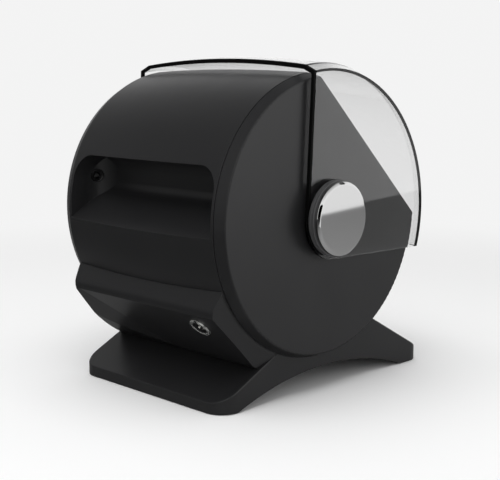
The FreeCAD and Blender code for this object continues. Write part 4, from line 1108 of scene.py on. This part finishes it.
@dataclass
class Studio:
    """The pale floor, the white surroundings, the lamps and the camera, all placed from the drum's axis.

    Each flag is a black card that only mirrors show, given by the direction that it hangs in and its reach.
    The softboxes hang overhead, high at the recess side, and beside the disc.
    """

    floor_half: float = 12.0
    paper: str = "#F7F7F7"
    bounce: str = "#E8E8E8"
    shade: str = "#A0A0A0"
    back_shade: str = "#484848"
    backdrop: float = 0.9
    fade_start: float = 0.45
    fade_end: float = 1.3
    sweep_point: tuple[float, float] = (-1.152, -1.178)
    sweep_turn: float = 12.4
    sweep_soft: float = 0.012
    sweep_white: float = 0.94
    back_start: float = 0.3
    lid_end: float = 0.05
    fill: float = 1.1
    sky_low: float = 0.42
    sky_top: float = 0.84
    sky_dark: float = 0.08
    room_dark: float = 0.2
    flags: tuple[tuple[tuple[float, float, float], float], ...] = (
        ((-0.95, 0.2, 0.12), 0.26),
        ((-0.42, -0.72, 0.55), 0.13),
    )
    flag_soft: float = 0.03
    camera_place: tuple[float, float, float] = (-0.8623, 0.8373, 0.15)
    camera_aim: tuple[float, float, float] = (0.7027, -0.6944, -0.1549)
    camera_lens: float = 77.57
    camera_sensor: float = 36.0
    lamps: tuple[Softbox, ...] = (
        Softbox("overhead_softbox", (0.0, 0.3, 1.9), width=2.4, height=2.4, brightness=1.65),
        Softbox("back_softbox", (-0.2, 1.0, 1.65), width=1.8, height=1.3, brightness=1.75),
        Softbox("side_softbox", (-1.9, -1.2, 0.9), width=2.0, height=1.6, brightness=0.1, mirrored=True),
    )

    @staticmethod
    def ray_kinds(tree: bpy.types.NodeTree) -> tuple[bpy.types.Node, bpy.types.Node]:
        """Tell rays that look at the surroundings from rays that see them in a mirror.

        A ray that has bounced keeps its kind when it leaves through the clear lid, so the depths are
        counted too.

        Args:
            tree: The node tree of the floor or of the world.

        Returns:
            The share that looks straight or through the lid, and the share that comes from a gloss.
        """
        ray = add_node(tree, "ShaderNodeLightPath").outputs
        glossy = ray["Glossy Depth"]
        bounced = add_node(tree, "ShaderNodeMath", {0: ray["Diffuse Depth"], 1: glossy}, operation="ADD")
        fresh = add_node(tree, "ShaderNodeMath", {0: bounced, 1: NO_BOUNCE}, operation="LESS_THAN")
        straight = add_node(
            tree,
            "ShaderNodeMath",
            {0: ray["Is Camera Ray"], 1: ray["Is Transmission Ray"]},
            operation="MAXIMUM",
        )
        looking = add_node(tree, "ShaderNodeMath", {0: straight, 1: fresh}, operation="MULTIPLY")
        deep = add_node(tree, "ShaderNodeMath", {0: glossy, 1: NO_BOUNCE}, operation="GREATER_THAN")
        mirrored = add_node(tree, "ShaderNodeMath", {0: deep, 1: ray["Is Glossy Ray"]}, operation="MAXIMUM")
        return looking, mirrored

    def mirrored_floor(self, tree: bpy.types.NodeTree, place: bpy.types.NodeSocket) -> bpy.types.Node:
        """Make the floor that gloss shows: grey, darker at the back, with a white sweep at the lid's side.

        Args:
            tree: The floor's node tree.
            place: The place on the floor.

        Returns:
            The shader.
        """
        corner = Pivot.centre() + Vector((*self.sweep_point, 0.0))
        turned = add_node(
            tree,
            "ShaderNodeMapping",
            {"Vector": place, "Location": corner, "Rotation": (0, 0, math.radians(-self.sweep_turn))},
            vector_type="TEXTURE",
        )
        across = add_node(tree, "ShaderNodeSeparateXYZ", {0: turned}).outputs["X"]
        beyond = add_node(
            tree,
            "ShaderNodeMapRange",
            {"Value": across, "From Min": self.sweep_soft, "From Max": -self.sweep_soft},
        )
        back = add_node(tree, "ShaderNodeSeparateXYZ", {0: place}).outputs["Y"]
        lid_side = add_node(
            tree, "ShaderNodeMapRange", {"Value": back, "From Min": self.back_start, "From Max": self.lid_end}
        )
        sweep = add_node(tree, "ShaderNodeMath", {0: beyond, 1: lid_side}, operation="MULTIPLY")
        tone = add_node(
            tree,
            "ShaderNodeMix",
            {"Factor": lid_side, "A": linear(self.back_shade), "B": linear(self.shade)},
            data_type="RGBA",
        ).outputs["Result"]
        grey = add_node(tree, "ShaderNodeBsdfDiffuse", {"Color": tone})
        white = add_node(tree, "ShaderNodeEmission", {"Strength": self.sweep_white})
        return add_node(tree, "ShaderNodeMixShader", {0: sweep, 1: grey, 2: white})

    def floor_material(self) -> bpy.types.Material:
        """Make the floor: white paper to the eye, a room in mirrors, and a pale grey that lights the object.

        Returns:
            The floor's material.
        """
        material = empty_material("white_studio_paper")
        tree = material.node_tree
        looking, mirrored = self.ray_kinds(tree)
        place = add_node(tree, "ShaderNodeTexCoord").outputs["Object"]
        distance = add_node(tree, "ShaderNodeVectorMath", {0: place}, operation="LENGTH").outputs["Value"]
        far = add_node(
            tree,
            "ShaderNodeMapRange",
            {"Value": distance, "From Min": self.fade_start, "From Max": self.fade_end},
            interpolation_type="SMOOTHSTEP",
        )
        pale = add_node(tree, "ShaderNodeEmission", {"Strength": self.backdrop})
        paper = add_node(tree, "ShaderNodeBsdfDiffuse", {"Color": linear(self.paper)})
        lighting = add_node(tree, "ShaderNodeBsdfDiffuse", {"Color": linear(self.bounce)})
        room = self.mirrored_floor(tree, place)
        seen = add_node(tree, "ShaderNodeMixShader", {0: far, 1: paper, 2: pale})
        unseen = add_node(tree, "ShaderNodeMixShader", {0: mirrored, 1: lighting, 2: room})
        surface = add_node(tree, "ShaderNodeMixShader", {0: looking, 1: unseen, 2: seen})
        add_node(tree, "ShaderNodeOutputMaterial", {"Surface": surface})
        return material

    def build_floor(self) -> None:
        """Lay the floor under the object."""
        mesh = bpy.data.meshes.new("studio_floor")
        grid = bmesh.new()
        bmesh.ops.create_grid(grid, x_segments=1, y_segments=1, size=self.floor_half)
        grid.to_mesh(mesh)
        grid.free()
        mesh.materials.append(self.floor_material())
        floor = bpy.data.objects.new("studio_floor", mesh)
        bpy.context.scene.collection.objects.link(floor)
        LOG.info("floor laid")

    def build_world(self) -> None:
        """Set a pale backdrop all round, which mirrors show as white walls with a dark ceiling."""
        world = bpy.data.worlds.new("white_studio")
        bpy.context.scene.world = world
        world.use_nodes = True
        tree = world.node_tree
        tree.nodes.clear()
        looking, mirrored = self.ray_kinds(tree)
        direction = add_node(tree, "ShaderNodeTexCoord").outputs["Generated"]
        parts = add_node(tree, "ShaderNodeSeparateXYZ", {0: direction}).outputs
        aside = add_node(tree, "ShaderNodeMath", {0: parts["X"], 1: parts["Y"]}, operation="ADD")
        wall = add_node(
            tree,
            "ShaderNodeMapRange",
            {"Value": aside, "From Max": 1.0, "To Min": 1.0, "To Max": self.room_dark},
        )
        sky = add_node(
            tree,
            "ShaderNodeMapRange",
            {
                "Value": parts["Z"],
                "From Min": self.sky_low,
                "From Max": self.sky_top,
                "To Min": wall,
                "To Max": self.sky_dark,
            },
        )
        shown = sky
        for toward, reach in self.flags:
            apart = add_node(tree, "ShaderNodeVectorMath", {0: direction, 1: toward}, operation="DISTANCE")
            clear = add_node(
                tree,
                "ShaderNodeMapRange",
                {"Value": apart.outputs["Value"], "From Min": reach - self.flag_soft, "From Max": reach},
            )
            shown = add_node(tree, "ShaderNodeMath", {0: shown, 1: clear}, operation="MULTIPLY")
        room = add_node(tree, "ShaderNodeBackground", {"Color": WHITE, "Strength": shown})
        fill = add_node(tree, "ShaderNodeMath", {0: sky, 1: self.fill}, operation="MULTIPLY")
        lighting = add_node(tree, "ShaderNodeBackground", {"Color": WHITE, "Strength": fill})
        pale = add_node(tree, "ShaderNodeBackground", {"Color": WHITE, "Strength": self.backdrop})
        unseen = add_node(tree, "ShaderNodeMixShader", {0: mirrored, 1: lighting, 2: room})
        surface = add_node(tree, "ShaderNodeMixShader", {0: looking, 1: unseen, 2: pale})
        add_node(tree, "ShaderNodeOutputWorld", {"Surface": surface})
        LOG.info("surroundings set")

    def build_lamps(self) -> None:
        """Hang the softboxes, each aimed at the object and unseen by the camera itself."""
        for softbox in self.lamps:
            place = Vector(softbox.place)
            light = bpy.data.lights.new(softbox.name, "AREA")
            light.shape = "RECTANGLE"
            light.size = softbox.width
            light.size_y = softbox.height
            light.energy = softbox.brightness * math.pi * softbox.width * softbox.height
            lamp = bpy.data.objects.new(softbox.name, light)
            lamp.location = Pivot.centre() + place
            lamp.rotation_euler = (-place).to_track_quat("-Z", "Y").to_euler()
            lamp.visible_camera = False
            lamp.visible_transmission = False
            lamp.visible_glossy = softbox.mirrored
            bpy.context.scene.collection.objects.link(lamp)
            LOG.info("%s hung", softbox.name)

    def build_camera(self) -> None:
        """Set up the camera where the photograph was taken from."""
        lens = bpy.data.cameras.new("photo_camera")
        lens.sensor_fit = "HORIZONTAL"
        lens.sensor_width = self.camera_sensor
        lens.lens = self.camera_lens
        camera = bpy.data.objects.new("photo_camera", lens)
        camera.location = Pivot.centre() + Vector(self.camera_place)
        camera.rotation_euler = Vector(self.camera_aim).to_track_quat("-Z", "Y").to_euler()
        bpy.context.scene.collection.objects.link(camera)
        bpy.context.scene.camera = camera
        LOG.info("camera set")

    def build(self) -> None:
        """Set up the whole studio."""
        self.build_floor()
        self.build_world()
        self.build_lamps()
        self.build_camera()
        bpy.context.scene.view_settings.view_transform = "Standard"


def main() -> None:
    """Dress the object piece by piece, then set up the studio around it."""
    logging.basicConfig(level=logging.INFO, format="%(name)s: %(message)s")
    for kind in (DrumBody, ClearLid, Pivot, RollerBed, WarmAir, RearHousing, Stand, Fasteners, Studio):
        kind().build()


if __name__ == "__main__":
    main()
